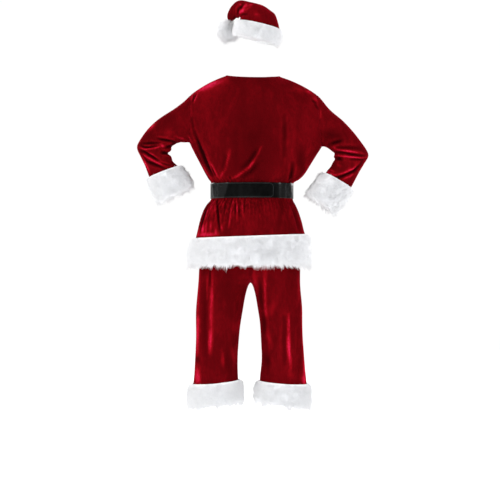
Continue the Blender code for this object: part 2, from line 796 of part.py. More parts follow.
def make_buckle():
    """Cast in one piece: a frame in front of the strap, a bar behind it and a tongue across."""
    middle = (BELT_TOP + BELT_BOTTOM) / 2
    front = body_at_belt()[3]
    strap_out = front + strap_seat() + BELT_THICK
    back_face = -(strap_out + SEAM_GAP)
    front_face = back_face - BUCKLE_THICK
    half_w, half_h = BUCKLE_WIDTH / 2, BUCKLE_HEIGHT / 2
    hole_w, hole_h = half_w - BUCKLE_RIM, half_h - BUCKLE_RIM
    bar_back = -(front + SEAM_GAP + STRIP_PRESSED + SEAM_GAP)
    bar_front = -(front + strap_seat() - SEAM_GAP)
    frame = make_box(
        "buckle_frame",
        (-half_w, front_face, middle - half_h),
        (half_w, back_face, middle + half_h),
    )
    bevel = frame.modifiers.new("rounded", "BEVEL")
    bevel.width = BUCKLE_BEVEL
    bevel.segments = 2
    hole = make_box(
        "buckle_window",
        (-hole_w, front_face - 0.01, middle - hole_h),
        (hole_w, back_face + 0.01, middle + hole_h),
    )
    lug = BELT_HEIGHT / 2 + 2 * SEAM_GAP
    end = half_h - BUCKLE_INSET
    lug_front = front_face + TONGUE_SUNK
    side = half_w - TONGUE_INSET
    tongue_front = front_face - TONGUE_PROUD
    tongue_back = back_face - TONGUE_SUNK
    tongue_half = TONGUE_HEIGHT / 2
    pieces = [
        make_box(name, (-reach, near, middle + low), (reach, far, middle + high))
        for name, reach, near, far, low, high in (
            ("buckle_bar", BAR_HALF, bar_front, bar_back, -end, end),
            ("buckle_lug_top", BAR_HALF, lug_front, bar_back, lug, end),
            ("buckle_lug_low", BAR_HALF, lug_front, bar_back, -end, -lug),
            ("buckle_tongue", side, tongue_front, tongue_back, -tongue_half, tongue_half),
        )
    ]
    SUIT.objects.link(frame)
    HELPERS.objects.unlink(frame)
    frame.name = "belt_buckle"
    frame.hide_render = False
    frame.display_type = "TEXTURED"
    frame.data.materials.append(MATERIALS["buckle_metal"])
    window = frame.modifiers.new("window", "BOOLEAN")
    window.operation = "DIFFERENCE"
    window.object = hole
    for piece in pieces:
        union = frame.modifiers.new(piece.name, "BOOLEAN")
        union.operation = "UNION"
        union.object = piece


def hip_piece(share):
    names = ("trouser_front_left", "trouser_back_left", "trouser_back_right", "trouser_front_right")
    return names[int(share * 4)]


def hip_ring(row):
    height, *reach = row
    ring = []
    for column in range(HIPS):
        point = section_point(2 * math.pi * column / HIPS, reach, HIP_SHAPE)
        ring.append(Vector((point.x, point.y, height)))
    return ring


def leg_ring(row, side):
    height, outer, inner, depth, rise = row
    centre = (outer + inner) / 2
    half = abs(outer - inner) / 2
    way = 1 if side == "left" else -1
    folds = dict(LEG_FOLDS)
    grown = min(1.0, max(0.25, (LEG_FOLDS_TOP - height) / 0.20))
    if height < LEG_FOLDS_END:
        grown = 0.15
    ring = []
    for column in range(LEG):
        angle = 2 * math.pi * column / LEG - math.pi / 4
        point = section_point(angle, (half, half, depth, depth), LEG_SHAPE)
        point -= point.normalized() * folds.get(column, 0.0) * grown
        ring.append(Vector((centre + way * point.x, point.y + LEG_MIDDLE_Y, height - rise * point.x)))
    return ring


def leg_piece(share, side):
    back = 9 / LEG < share < 21 / LEG
    return "trouser_" + ("back_" if back else "front_") + side


def make_trousers():
    skin = Skin()
    hips = [skin.row(hip_ring(row)) for row in HIP_ROWS]
    for upper, lower in zip(hips, hips[1:]):
        skin.join(upper, lower, hip_piece)
    crotch = hips[-1]
    back_centre, front_centre = crotch[HIPS // 2], crotch[0]
    for vert in (back_centre, front_centre):
        vert.co.x = CROTCH_X
    bridge = []
    for step in range(1, BRIDGE):
        share = step / BRIDGE
        point = back_centre.co.lerp(front_centre.co, share)
        point.z -= CROTCH_DIP * math.sin(math.pi * share) ** 0.7
        bridge.append(point)
    bridge = skin.row(bridge)
    ends = {}
    for side in ("left", "right"):
        if side == "left":
            half = crotch[: HIPS // 2 + 1]
        else:
            half = [crotch[-column] for column in range(HIPS // 2 + 1)]
        last = [*half, *bridge]
        table = LEG_ROWS[side]
        rings = [skin.row(leg_ring(row, side)) for row in table]
        for ring in rings[:-1]:
            skin.join(last, ring, lambda share, side=side: leg_piece(share, side))
            last = ring
        skin.join(rings[-2], rings[-1], lambda share: "behind_leg_plush")
        ends[side] = rings[-3:]
    skin.settle(Vector((0, 1, -0.6)), Vector((0, 1, 0)))
    for part in ("back", "front"):
        for side in ("left", "right"):
            skin.cut(f"trouser_{part}_{side}", WALL, "velvet")
    for side in ("left", "right"):
        plush_band("leg_plush_" + side, ends[side], LEG_PILE)
    skin.mesh.free()

    band = Skin()
    top, bottom = [band.row(hip_ring((height, *WAIST_RING))) for height in (WAIST_TOP, WAIST_BOTTOM)]
    band.join(top, bottom, lambda share: "trouser_waistband")
    band.settle(Vector((0, 1, WAIST_TOP)), Vector((0, 1, 0)))
    band.cut("trouser_waistband", WAISTBAND_WALL, "velvet")
    band.mesh.free()


def leaned(point):
    """The hat is worn tipped back, so everything in it slopes along Y."""
    return point - Vector((0, 0, HAT_LEAN * point.y))


def hat_ring(degrees, centre, half, depth):
    """A ring of the crown: its long way points at the angle in the plane of X and Z."""
    angle = math.radians(degrees)
    way = Vector((-math.cos(angle), 0, math.sin(angle)))
    ring = []
    for column in range(HAT):
        turn = 2 * math.pi * column / HAT
        point = centre + way * half * math.cos(turn)
        point.y += depth * math.sin(turn)
        ring.append(leaned(point))
    return ring


def hat_piece(share):
    return "hat_crown_back" if share < 0.5 else "hat_crown_front"


def make_hat():
    skin = Skin()
    angle = math.radians(HAT_FAN[0][0])
    axis = Vector((math.sin(angle), 0, math.cos(angle)))
    rings = []
    for degrees, length, depth in HAT_FAN:
        turn = math.radians(degrees)
        way = Vector((-math.cos(turn), 0, math.sin(turn)))
        centre = HAT_PIVOT + way * (HAT_NEAR + length) / 2
        rings.append(hat_ring(degrees, centre, (length - HAT_NEAR) / 2, depth))
    for degrees, x, y, z, half, depth in HAT_TAIL:
        rings.append(hat_ring(degrees, Vector((x, y, z)), half, depth))
    top = [point - axis * HAT_BAND_RAISE for point in rings[0]]
    tuck = [point - axis * (HAT_BAND_RAISE + HAT_TUCK) for point in rings[0]]
    bottom = [point - axis * (HAT_BAND_RAISE + HAT_BAND_HEIGHT) for point in rings[0]]
    bottom, tuck, top = [skin.row(row) for row in (bottom, tuck, top)]
    skin.join(tuck, bottom, lambda share: "behind_hat_plush")
    skin.join(top, tuck, hat_piece)
    last = top
    for points in rings:
        ring = skin.row(points)
        skin.join(ring, last, hat_piece)
        last = ring
    pole = skin.row([leaned(HAT_END)])[0]
    for column in range(HAT):
        skin.face((last[column], last[(column + 1) % HAT], pole), hat_piece((column + 0.5) / HAT))
    skin.settle(Vector((-0.02, 1, 0.24)), Vector((0, 1, 0)))
    for piece in ("hat_crown_back", "hat_crown_front"):
        skin.cut(piece, WALL, "velvet")
    plush_band("hat_band_plush", (top, tuck, bottom), HAT_PILE)
    skin.mesh.free()

    ball = bmesh.new()
    bmesh.ops.create_uvsphere(ball, u_segments=18, v_segments=10, radius=POMPOM_RADIUS)
    centre = leaned(HAT_END) + POMPOM_HANG.normalized() * (POMPOM_RADIUS + SEAM_GAP)
    bmesh.ops.translate(ball, vec=centre, verts=ball.verts)
    add_object("hat_pompom", ball, "plush")


clear_scene()
SUIT = collection_named("santa_suit")
HELPERS = collection_named("helpers")
MATERIALS = {name: finish_material(name) for name in FINISHES}
make_jacket()
make_belt()
make_buckle()
make_trousers()
make_hat()
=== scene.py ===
# %% [markdown]
# # A santa suit, worn and empty
# The suit is a set: a dark red velvet jacket with its own belt, trousers and a hat, all trimmed
# with white plush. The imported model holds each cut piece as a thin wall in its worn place. This
# script keeps those places and gives each piece the surface of the real one: the nap and folds
# of the velvet, the long pile of the plush and the gloss of the belt. Left and right are those of
# the suit. It is seen from behind, so they are those of the picture too.

# %% Load the frame
import math

import bmesh
import bpy
import numpy as np
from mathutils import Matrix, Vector, noise


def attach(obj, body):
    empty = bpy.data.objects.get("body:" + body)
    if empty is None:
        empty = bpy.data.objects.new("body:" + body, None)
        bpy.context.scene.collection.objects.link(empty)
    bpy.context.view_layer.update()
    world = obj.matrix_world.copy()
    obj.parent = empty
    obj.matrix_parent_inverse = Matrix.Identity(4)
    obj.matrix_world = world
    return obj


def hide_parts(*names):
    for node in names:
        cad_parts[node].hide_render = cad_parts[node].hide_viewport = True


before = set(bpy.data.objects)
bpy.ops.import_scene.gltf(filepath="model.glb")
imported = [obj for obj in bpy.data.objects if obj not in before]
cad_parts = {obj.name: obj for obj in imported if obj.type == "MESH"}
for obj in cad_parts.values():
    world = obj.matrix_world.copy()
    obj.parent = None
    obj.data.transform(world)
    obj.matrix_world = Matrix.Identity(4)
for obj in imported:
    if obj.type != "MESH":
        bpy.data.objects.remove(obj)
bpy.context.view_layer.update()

# %% [markdown]
# ## Camera
# The suit faces -Y and is seen from behind, square on, from five metres. A camera without
# perspective could do, but a long lens is what such a picture is taken with, and it keeps the
# sleeves and the legs in their proportions. One pixel of the 500 pixel picture is 3.8 mm at the
# suit, which gives the lens.

# %% Camera
PIXEL = 0.0038
PICTURE = 500
DISTANCE = 5.0
MIDDLE_X = 0.0076
MIDDLE_Z = -0.65
FLOOR_Z = -1.55

scene = bpy.context.scene
lens = bpy.data.cameras.new("camera")
lens.sensor_width = 36.0
lens.lens = lens.sensor_width * DISTANCE / (PIXEL * PICTURE)
camera = bpy.data.objects.new("camera", lens)
camera.location = (MIDDLE_X, DISTANCE, MIDDLE_Z)
camera.rotation_euler = (math.radians(90), 0, math.radians(180))
scene.collection.objects.link(camera)
scene.camera = camera
scene.view_settings.view_transform = "Standard"
print("lens", round(lens.lens, 1), "mm")

# %% [markdown]
# ## Writing shader maths
# A material is a graph of nodes. They could be made and linked one by one, but then nobody sees
# the formula. So a small class wraps one socket, and adding or multiplying two of them adds the
# Math node. A second class makes every other node.

# %% Wire and Paint
class Wire:
    """A number that a material works out at each point."""

    def __init__(self, paint, socket):
        self.paint = paint
        self.socket = socket

    def maths(self, operation, first, second):
        return self.paint.node("Math", {"operation": operation}, {0: first, 1: second})

    def __add__(self, other):
        return self.maths("ADD", self, other)

    def __sub__(self, other):
        return self.maths("SUBTRACT", self, other)

    def __rsub__(self, other):
        return self.maths("SUBTRACT", other, self)

    def __mul__(self, other):
        return self.maths("MULTIPLY", self, other)

    def __pow__(self, other):
        return self.maths("POWER", self, other)

    def clip(self):
        return self.paint.node("Clamp", {}, {"Value": self})

    def most(self, other):
        return self.maths("MAXIMUM", self, other)

    def size(self):
        return self.maths("ABSOLUTE", self, 0.0)

    __radd__ = __add__
    __rmul__ = __mul__


class Paint:
    """The nodes of one material, or of the world, built one by one."""

    def __init__(self, owner):
        self.owner = owner
        owner.use_nodes = True
        self.tree = owner.node_tree
        self.tree.nodes.clear()

    def node(self, kind, settings, values, out=0):
        made = self.tree.nodes.new("ShaderNode" + kind)
        for name, setting in settings.items():
            if name == "stops":
                ramp = made.color_ramp
                while len(ramp.elements) < len(setting):
                    ramp.elements.new(0.5)
                for element, (place, colour) in zip(ramp.elements, setting):
                    element.position = place
                    element.color = (*colour, 1)
            else:
                setattr(made, name, setting)
        for name, value in values.items():
            if isinstance(value, Wire):
                self.tree.links.new(value.socket, made.inputs[name])
            else:
                made.inputs[name].default_value = value
        return Wire(self, made.outputs[out]) if made.outputs else None

    def place(self, scale=(1, 1, 1)):
        """Object coordinates, stretched."""
        here = self.node("TexCoord", {}, {}, "Object")
        return self.node("Mapping", {}, {"Vector": here, "Scale": scale})

    def grain(self, scale, detail=2.0, stretch=(1, 1, 1), roughness=0.5, twist=0.0):
        """Noise from 0 to 1, with scale in waves for each metre."""
        values = {"Vector": self.place(stretch), "Scale": scale, "Detail": detail}
        values.update({"Roughness": roughness, "Distortion": twist})
        return self.node("TexNoise", {}, values)

    def ramp(self, wire, stops):
        return self.node("ValToRGB", {"stops": stops}, {"Fac": wire})

    def bump(self, height, strength, distance, normal=None):
        values = {"Height": height, "Strength": strength, "Distance": distance}
        if normal:
            values["Normal"] = normal
        return self.node("Bump", {}, values)

    def finish(self, values):
        shader = self.node("BsdfPrincipled", {}, values)
        self.node("OutputMaterial", {}, {"Surface": shader})
        return self.owner


# %% [markdown]
# ## Studio
# The photograph is a catalogue picture on white: soft boxes on every side and a bright room. A
# wall behind the suit could make the white, but would hide it from the other sides. So a round
# pale floor lies below, and the world around is white to the eye but lights the suit only
# softly. Soft boxes well to the sides graze the cloth, and velvet shows its nap most in grazing
# light.

# %% Light and floor
ROOM_LIGHT = 0.46
ROOM_WHITE = 1.02
FLOOR_RADIUS = 7.0
FLOOR_GLOW = 0.62
SOFT_BOXES = (
    # name, place, size, watts, colour
    ("key_left", (3.0, 3.0, 1.5), 1.4, 86, (1.0, 0.985, 0.97)),
    ("key_right", (-3.2, 2.4, 0.8), 1.6, 62, (0.97, 0.98, 1.0)),
    ("low_fill", (0.4, 3.2, -1.5), 1.8, 70, (1.0, 1.0, 1.0)),
    ("edge_left", (2.6, -0.9, 0.4), 1.0, 26, (1.0, 1.0, 1.0)),
    ("edge_right", (-2.6, -0.9, 0.4), 1.0, 26, (1.0, 1.0, 1.0)),
    ("front_left", (2.4, -2.8, 1.2), 1.6, 74, (1.0, 1.0, 1.0)),
    ("front_right", (-2.6, -2.8, 0.6), 1.6, 62, (1.0, 1.0, 1.0)),
    ("top", (0.0, 0.9, 2.6), 1.6, 30, (1.0, 1.0, 1.0)),
)
AIM = (0.0, 0.0, -0.5)
LOWER_AIMS = {"low_fill": (0.0, 0.0, -1.1)}


def new_object(name, data, materials=()):
    piece = bpy.data.objects.new(name, data)
    scene.collection.objects.link(piece)
    for material in materials:
        data.materials.append(material)
    return piece


def written(mesh, name):
    """Mesh data of a mesh that was worked on. The working copy is freed."""
    data = bpy.data.meshes.new(name)
    mesh.to_mesh(data)
    mesh.free()
    return data


def make_floor():
    """A round pale matt sheet that glows a little, so that it meets the room unseen."""
    paint = Paint(bpy.data.materials.new("floor"))
    finish = paint.finish(
        {
            "Base Color": (0.93, 0.93, 0.93, 1),
            "Roughness": 0.9,
            "Emission Color": (1, 1, 1, 1),
            "Emission Strength": FLOOR_GLOW,
        }
    )
    mesh = bmesh.new()
    bmesh.ops.create_circle(mesh, cap_ends=True, segments=96, radius=FLOOR_RADIUS)
    bmesh.ops.translate(mesh, verts=mesh.verts, vec=(0, 0, FLOOR_Z))
    new_object("floor", written(mesh, "floor"), [finish])


def make_room():
    world = bpy.data.worlds.new("studio")
    paint = Paint(world)
    seen = paint.node("LightPath", {}, {}, "Is Camera Ray")
    strength = ROOM_LIGHT + seen * (ROOM_WHITE - ROOM_LIGHT)
    room = paint.node("Background", {}, {"Color": (1, 1, 1, 1), "Strength": strength})
    paint.node("OutputWorld", {}, {"Surface": room})
    scene.world = world


for name, place, size, watts, colour in SOFT_BOXES:
    light = bpy.data.lights.new(name, "AREA")
    light.size = size
    light.energy = watts
    light.color = colour
    box = bpy.data.objects.new(name, light)
    box.location = place
    aim = Vector(LOWER_AIMS.get(name, AIM)) - Vector(place)
    box.rotation_euler = aim.to_track_quat("-Z", "Y").to_euler()
    scene.collection.objects.link(box)
make_room()
make_floor()
print(len(SOFT_BOXES), "soft boxes, and a floor", 2 * FLOOR_RADIUS, "m wide")

# %% [markdown]
# ## Velvet
# Velvet is a dense short pile. Where the pile leans away the cloth looks almost black, and where
# it leans to the light it turns a bright pinkish red. Real velvet is crushed a little in use, so
# the lean changes in soft upright streaks. The pile could be made as hair, but at a millimetre
# long it would take millions of faces, so the finish draws it. Noise stretched along Z gives the
# streaks, in colour and roughness, and the shader's sheen adds the bright edge of the pile. Two
# values come from the mesh. The first is painted light: a painted highlight above 0 and painted
# shade below 0, along the folds and in patches. The second, gather, marks the gathers near the
# belt, where noise paints streaks of shade and highlight into the colour.

# %% Velvet material
def make_velvet():
    paint = Paint(bpy.data.materials.new("red_velvet"))
    lean = paint.grain(20.0, 5.0, (1.0, 1.0, 0.35), 0.6, 0.8)
    crush = paint.grain(85.0, 4.0, (1.0, 1.0, 0.5), 0.6, 1.0)
    pile = paint.grain(1500.0, 2.0)
    streak = paint.grain(190.0, 3.0, (1.0, 1.0, 0.07), 0.55, 0.3)
    fray = paint.grain(330.0, 3.0, (1.0, 1.0, 0.6), 0.6)
    # Painted light from the mesh: above 0 a painted highlight, below 0 painted shade.
    painted_light_fac = paint.node("Attribute", {"attribute_name": "nap"}, {}, "Fac")
    gathered = paint.node("Attribute", {"attribute_name": "gather"}, {}, "Fac")
    mix = 0.10 + lean * 0.26 + crush * 0.17 + pile * 0.06
    # The painted light is broken up by noise. In the gathers, noise paints streaks of shade and
    # highlight that follow the bump below.
    mix = mix + painted_light_fac * (crush * 0.9 + fray * 1.3 - 0.2) + gathered * (streak - 0.5) * 1.1
    colour = paint.ramp(
        mix,
        (
            # Noise alone stays between the middle stops: the lowest is reached only through
            # painted shade, the two highest only through painted highlight.
            (0.00, (0.014, 0.0004, 0.0008)),
            (0.32, (0.068, 0.0010, 0.0021)),
            (0.55, (0.165, 0.0019, 0.0045)),
            (0.80, (0.330, 0.0048, 0.0190)),
            (1.00, (0.470, 0.0110, 0.0500)),
        ),
    )
    roughness = 0.85 - 0.25 * lean
    normal = paint.bump(lean * 0.7 + crush * 0.3, 0.25, 0.0020)
    normal = paint.bump(gathered * streak, 0.5, 0.0020, normal)
    normal = paint.bump(pile, 0.22, 0.0004, normal)
    return paint.finish(
        {
            "Base Color": colour,
            "Roughness": roughness,
            "Specular IOR Level": 0.0,
            "Sheen Weight": 0.30,
            "Sheen Roughness": 0.30,
            "Sheen Tint": (1.0, 0.022, 0.060, 1),
            "Normal": normal,
        }
    )


def make_velvet_back():
    """The wrong side of the velvet: a matt knit ground in a duller red."""
    paint = Paint(bpy.data.materials.new("velvet_back"))
    rows = {"Vector": paint.place(), "Scale": 260.0}
    knit = paint.node("TexWave", {"wave_type": "BANDS"}, rows)
    blotch = paint.grain(40.0, 3.0)
    reds = ((0.2, (0.10, 0.008, 0.012)), (0.8, (0.18, 0.016, 0.022)))
    return paint.finish(
        {
            "Base Color": paint.ramp(blotch * 0.7 + knit * 0.3, reds),
            "Roughness": 0.9,
            "Specular IOR Level": 0.1,
            "Normal": paint.bump(knit, 0.3, 0.0005),
        }
    )


velvet = make_velvet()
velvet_back = make_velvet_back()
print("velvet is drawn by", len(velvet.node_tree.nodes), "nodes")

# %% [markdown]
# ## Plush
# The trim is long white pile on a knit ground. Its colour is a cool white, with painted shade a
# little darker in soft patches, for the shade deep between the tufts. A noise could paint the
# tufts on a smooth band, but the trim's edge would stay sharp, so the pile is made as real tufts
# further down. The ground under them has nearly their colour, so that no gap shows.

# %% Plush materials
def make_plush(name, shaded_white, tip):
    paint = Paint(bpy.data.materials.new(name))
    clump = paint.grain(95.0, 3.0, (1, 1, 1), 0.6)
    hair = paint.grain(900.0, 2.0)
    # Painted shade: where the clump and hair noise of the bump below is low, the colour darkens
    # to the shaded white.
    colour = paint.ramp(clump * 0.6 + hair * 0.4, ((0.30, shaded_white), (0.62, tip)))
    normal = paint.bump(hair, 0.5, 0.0010)
    normal = paint.bump(clump, 0.5, 0.004, normal)
    return paint.finish(
        {
            "Base Color": colour,
            "Roughness": 0.88,
            "Specular IOR Level": 0.15,
            "Sheen Weight": 0.25,
            "Sheen Roughness": 0.5,
            "Sheen Tint": (1.0, 1.0, 1.0, 1),
            "Normal": normal,
        }
    )


# The first colour of each is the painted shade between the tufts, the second the white of the
# tips.
plush_ground = make_plush("plush_ground", (0.78, 0.79, 0.81), (0.89, 0.90, 0.915))
plush_pile = make_plush("plush_pile", (0.85, 0.86, 0.88), (0.93, 0.935, 0.95))
print("finishes", plush_ground.name, "and", plush_pile.name)

# %% [markdown]
# ## Belt and buckle finishes
# The strap is black vinyl with a wet shine and a fine pressed grain. A pressed line follows its
# edges and rounds off at the outer end, and is painted a lighter grey, a painted highlight along
# it. It could be cut into the mesh, but it is only a millimetre wide, so the finish works out how
# far each point is from it. The shine is patchy: it is strong beyond a slanted line on the left
# and in upright streaks on the right. The buckle is cast and plated in a gold tone, with faint
# polishing marks.

# %% Vinyl and metal
LINE_END = -0.0790
LINE_ROUND = 0.0120
LINE_HALF = 0.0256
LINE_WIDTH = 0.0011
STRAP_MIDDLE = -0.4268


def pressed_line(x, y, z):
    """1 on the line that runs inside the strap's edges and round its outer end, at the back."""
    side = (LINE_END + LINE_ROUND - x).most(0.0)
    up = ((z - STRAP_MIDDLE).size() - (LINE_HALF - LINE_ROUND)).most(0.0)
    off = ((side**2 + up**2) ** 0.5 - LINE_ROUND).size()
    return (1 - off * (1 / LINE_WIDTH)).clip() * (y * 100).clip()


def make_vinyl():
    paint = Paint(bpy.data.materials.new("black_vinyl"))
    place = paint.place()
    grain = paint.node("TexVoronoi", {"feature": "F1"}, {"Vector": place, "Scale": 900.0})
    wave = paint.grain(9.0, 1.5, (1.0, 1.0, 0.6))
    scuff = paint.grain(60.0, 4.0, (1.0, 1.0, 0.4))
    streak = paint.grain(45.0, 3.0, (1.0, 1.0, 0.08))
    blacks = ((0.35, (0.0006, 0.0007, 0.0007)), (0.75, (0.0022, 0.0024, 0.0024)))
    colour = paint.ramp(scuff, blacks)
    x, y, z = (paint.node("SeparateXYZ", {}, {0: place}, way) for way in "XYZ")
    slant = x + (z - STRAP_MIDDLE) * 0.33 + (streak - 0.5) * 0.02
    left = paint.ramp(slant, ((0.094, (0.02, 0.02, 0.02)), (0.099, (1, 1, 1))))
    uneven_side = 0 - x + (streak - 0.5) * 0.07
    right = paint.ramp(uneven_side, ((0.094, (0, 0, 0)), (0.104, (0.8, 0.8, 0.8))))
    line = pressed_line(x, y, z)
    worn = left + right + line * 0.6
    # Painted highlight: the pressed line is painted a lighter grey, as well as pressed in and
    # glossier.
    painted_line_highlight = (0.065, 0.070, 0.072, 1)
    colour = paint.node("Mix", {"data_type": "RGBA"}, {0: line * 0.4, 6: colour, 7: painted_line_highlight}, 2)
    normal = paint.bump(wave, 0.4, 0.020)
    normal = paint.bump(streak, 0.25, 0.0015, normal)
    normal = paint.bump(1 - line, 0.4, 0.0010, normal)
    normal = paint.bump(grain, 0.06, 0.0002, normal)
    return paint.finish(
        {
            "Base Color": colour,
            "Roughness": 0.24 + scuff * 0.20,
            "Specular IOR Level": 0.03,
            "Coat Weight": (worn * (0.20 + streak * 0.9)).clip(),
            "Coat Roughness": 0.12,
            "Normal": normal,
        }
    )


def make_metal():
    paint = Paint(bpy.data.materials.new("gold_tone"))
    polish = paint.grain(60.0, 4.0, (1.0, 1.0, 12.0))
    golds = ((0.3, (0.62, 0.42, 0.14)), (0.7, (0.86, 0.64, 0.27)))
    return paint.finish(
        {
            "Base Color": paint.ramp(polish, golds),
            "Metallic": 1.0,
            "Roughness": 0.18 + polish * 0.16,
            "Normal": paint.bump(polish, 0.08, 0.0005),
        }
    )


vinyl = make_vinyl()
metal = make_metal()
print("finishes", vinyl.name, "and", metal.name)

# %% [markdown]
# ## From walls to skins
# Each cloth node is a closed wall: an outer face, an inner face and a rim. The pieces could be
# folded one by one, but a fold that runs over a seam would open it. So the outer faces of a
# garment are taken first and joined at the seams into one skin, which is smoothed and folded as
# a whole. The faces of the rim are told by their short edge, the thickness. Each face keeps the
# number of its piece as its material.

# %% Take the outer skin
CAD_WALLS = (0.002, 0.003)
WALL_ERROR = 2e-5
SAME_POINT = 1e-5
SEAM_JOIN = 0.0006
HOLD = 0.8


def outer_faces(mesh):
    """The larger of a piece's two walls. A face of the rim has an edge as long as the wall is
    thick, so the rim is left out first, and the rest falls into the two walls."""
    seen = set()
    for edge in mesh.edges:
        if min(abs(edge.calc_length() - wall) for wall in CAD_WALLS) < WALL_ERROR:
            seen.update(edge.link_faces)
    best = []
    most = 0.0
    for start in mesh.faces:
        if start in seen:
            continue
        group = []
        front = [start]
        seen.add(start)
        while front:
            face = front.pop()
            group.append(face)
            for edge in face.edges:
                for other in edge.link_faces:
                    if other not in seen:
                        seen.add(other)
                        front.append(other)
        area = sum(face.calc_area() for face in group)
        if area > most:
            best, most = group, area
    return best


def merged_copy(node):
    mesh = bmesh.new()
    mesh.from_mesh(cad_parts[node].data)
    bmesh.ops.remove_doubles(mesh, verts=mesh.verts, dist=SAME_POINT)
    return mesh


def keep_faces(mesh, wanted):
    rest = [face for face in mesh.faces if not wanted(face)]
    bmesh.ops.delete(mesh, geom=rest, context="FACES")


def quads(mesh):
    """Subdivision rounds four sided faces evenly, and triangles in lumps."""
    bmesh.ops.join_triangles(
        mesh,
        faces=mesh.faces,
        cmp_materials=True,
        angle_face_threshold=math.radians(60),
        angle_shape_threshold=math.radians(65),
    )


def smoothed(data, levels):
    work = new_object("work", data)
    smooth = work.modifiers.new("smooth", "SUBSURF")
    smooth.levels = smooth.render_levels = levels
    smooth.boundary_smooth = "PRESERVE_CORNERS"
    graph = bpy.context.evaluated_depsgraph_get()
    made = bpy.data.meshes.new_from_object(work.evaluated_get(graph))
    bpy.data.objects.remove(work)
    return made


def subdivided(mesh, levels):
    """The mesh after some levels of subdivision. That shrinks a curved form, so the points are
    first moved out by most of what they would lose."""
    data = written(mesh, "cage")
    trial = smoothed(data, levels)
    here = np.empty(len(data.vertices) * 3)
    there = np.empty(len(trial.vertices) * 3)
    data.vertices.foreach_get("co", here)
    trial.vertices.foreach_get("co", there)
    data.vertices.foreach_set("co", here + HOLD * (here - there[: len(here)]))
    return smoothed(data, levels)


def garment_skin(nodes, levels, finer=None):
    """One smooth skin of these nodes. The faces that finer picks are split once more."""
    skin = bmesh.new()
    for number, node in enumerate(nodes):
        wall = merged_copy(node)
        outside = set(outer_faces(wall))
        keep_faces(wall, lambda face: face in outside)
        for face in wall.faces:
            face.material_index = number
        skin.from_mesh(written(wall, node + "_wall"))
    bmesh.ops.remove_doubles(skin, verts=skin.verts, dist=SEAM_JOIN)
    quads(skin)
    made = subdivided(skin, levels)
    if finer:
        skin = bmesh.new()
        skin.from_mesh(made)
        edges = {edge for face in skin.faces if finer(face) for edge in face.edges}
        bmesh.ops.subdivide_edges(skin, edges=list(edges), cuts=1, use_grid_fill=True)
        made = written(skin, "skin")
    print("one skin of", ", ".join(nodes), "with", len(made.polygons), "faces")
    return made


# %% [markdown]
# ## Folds
# Worn cloth creases where it is pulled, pushed or gathered. A cloth simulation finds creases of
# its own, but not those of one picture, so each fold is placed one by one. It is a line of
# points, across and up as seen from behind, with a half width and a depth, and it lies on the
# back, on the front or right round. A garment's middle, front to back, parts the two sides. Each
# fold also has a light, which is painted into the velvet's colour: above 0 a painted highlight,
# and below 0 painted shade. Under the folds the cloth rolls a little.

# %% Fold tools
MM = 0.001
SIDE_BLEND = 0.03


def rise(value, start, end):
    """0 up to the start, 1 from the end on, and straight between them."""
    return np.clip((value - start) / (end - start), 0, 1)


def read_mesh(data):
    count = len(data.vertices)
    places = np.empty(count * 3)
    normals = np.empty(count * 3)
    data.vertices.foreach_get("co", places)
    data.vertices.foreach_get("normal", normals)
    return places.reshape(-1, 3), normals.reshape(-1, 3)


def push(data, distance):
    """Moves each point along its normal."""
    places, normals = read_mesh(data)
    data.vertices.foreach_set("co", (places + normals * distance[:, None]).ravel())
    data.update()


def facing(places, middle_y, side):
    """1 on that side of the suit and 0 on the other, with a short blend between."""
    if side == "round":
        return 1.0
    toward = 1 if side == "back" else -1
    return rise((places[:, 1] - middle_y) * toward, 0, SIDE_BLEND)


def along_line(places, points):
    """How far each place is along a line of points, from 0 to 1, and how far off it."""
    flat = places[:, (0, 2)]
    line = MM * np.array(points)
    lengths = np.linalg.norm(np.diff(line, axis=0), axis=1)
    share = np.zeros(len(flat))
    best = np.full(len(flat), 9.0)
    run = 0.0
    for start, end, length in zip(line, line[1:], lengths):
        way = (end - start) / length
        along = np.clip((flat - start) @ way, 0, length)
        off = np.linalg.norm(flat - start - along[:, None] * way, axis=1)
        near = off < best
        share[near] = (run + along[near]) / lengths.sum()
        best[near] = off[near]
        run += length
    return share, best


def roll(places, wave, stretch, seed):
    """Soft uneven noise between about -1 and 1, with waves of that length."""
    scale = np.array(stretch) / wave
    shift = Vector((seed * 7.3, seed * 3.1, seed * 5.7))
    return np.array([noise.noise(Vector(p) + shift) for p in places * scale])


def rolls(places, rows):
    """Some rolls together, each with its height, its waves' length, its stretch and a seed."""
    return sum(height * roll(places, *wave) for height, *wave in rows)


def fold_lines(places, middle_y, folds):
    """How far each point moves for these folds, and the light painted into its colour there. A
    fold with a depth above 0 is a trough between two low lips, one below 0 is a ridge, and one of
    0 only
    paints light: a highlight where its light is above 0 and shade where it is below."""
    move = np.zeros(len(places))
    nap = np.zeros(len(places))
    ragged = 1 + 0.30 * roll(places, 0.014, (1, 1, 0.5), 31)
    for side, rows in folds.items():
        here = facing(places, middle_y, side)
        for width, depth, light, *points in rows:
            share, off = along_line(places, points)
            away = off / (MM * width) * ragged
            ends = np.sin(np.pi * (0.12 + 0.76 * share)) * here
            middle = np.exp(-(away**2))
            lip = np.exp(-(((away - 1.8) / 0.8) ** 2))
            move -= MM * depth * ends * (middle - 0.4 * lip)
            # Painted light along the fold: a painted highlight where its light is above 0 and
            # painted shade where below, and a dark trough's lips get a little painted highlight.
            nap += light * ends * (middle - (0.25 * lip if light < 0 else 0.0))
    return move, nap


def keep_value(data, name, value):
    """A value at each point, which a finish or a tree reads by its name."""
    kind, key = ("FLOAT", "value") if value.ndim == 1 else ("FLOAT_VECTOR", "vector")
    data.attributes.new(name, kind, "POINT").data.foreach_set(key, value.ravel())


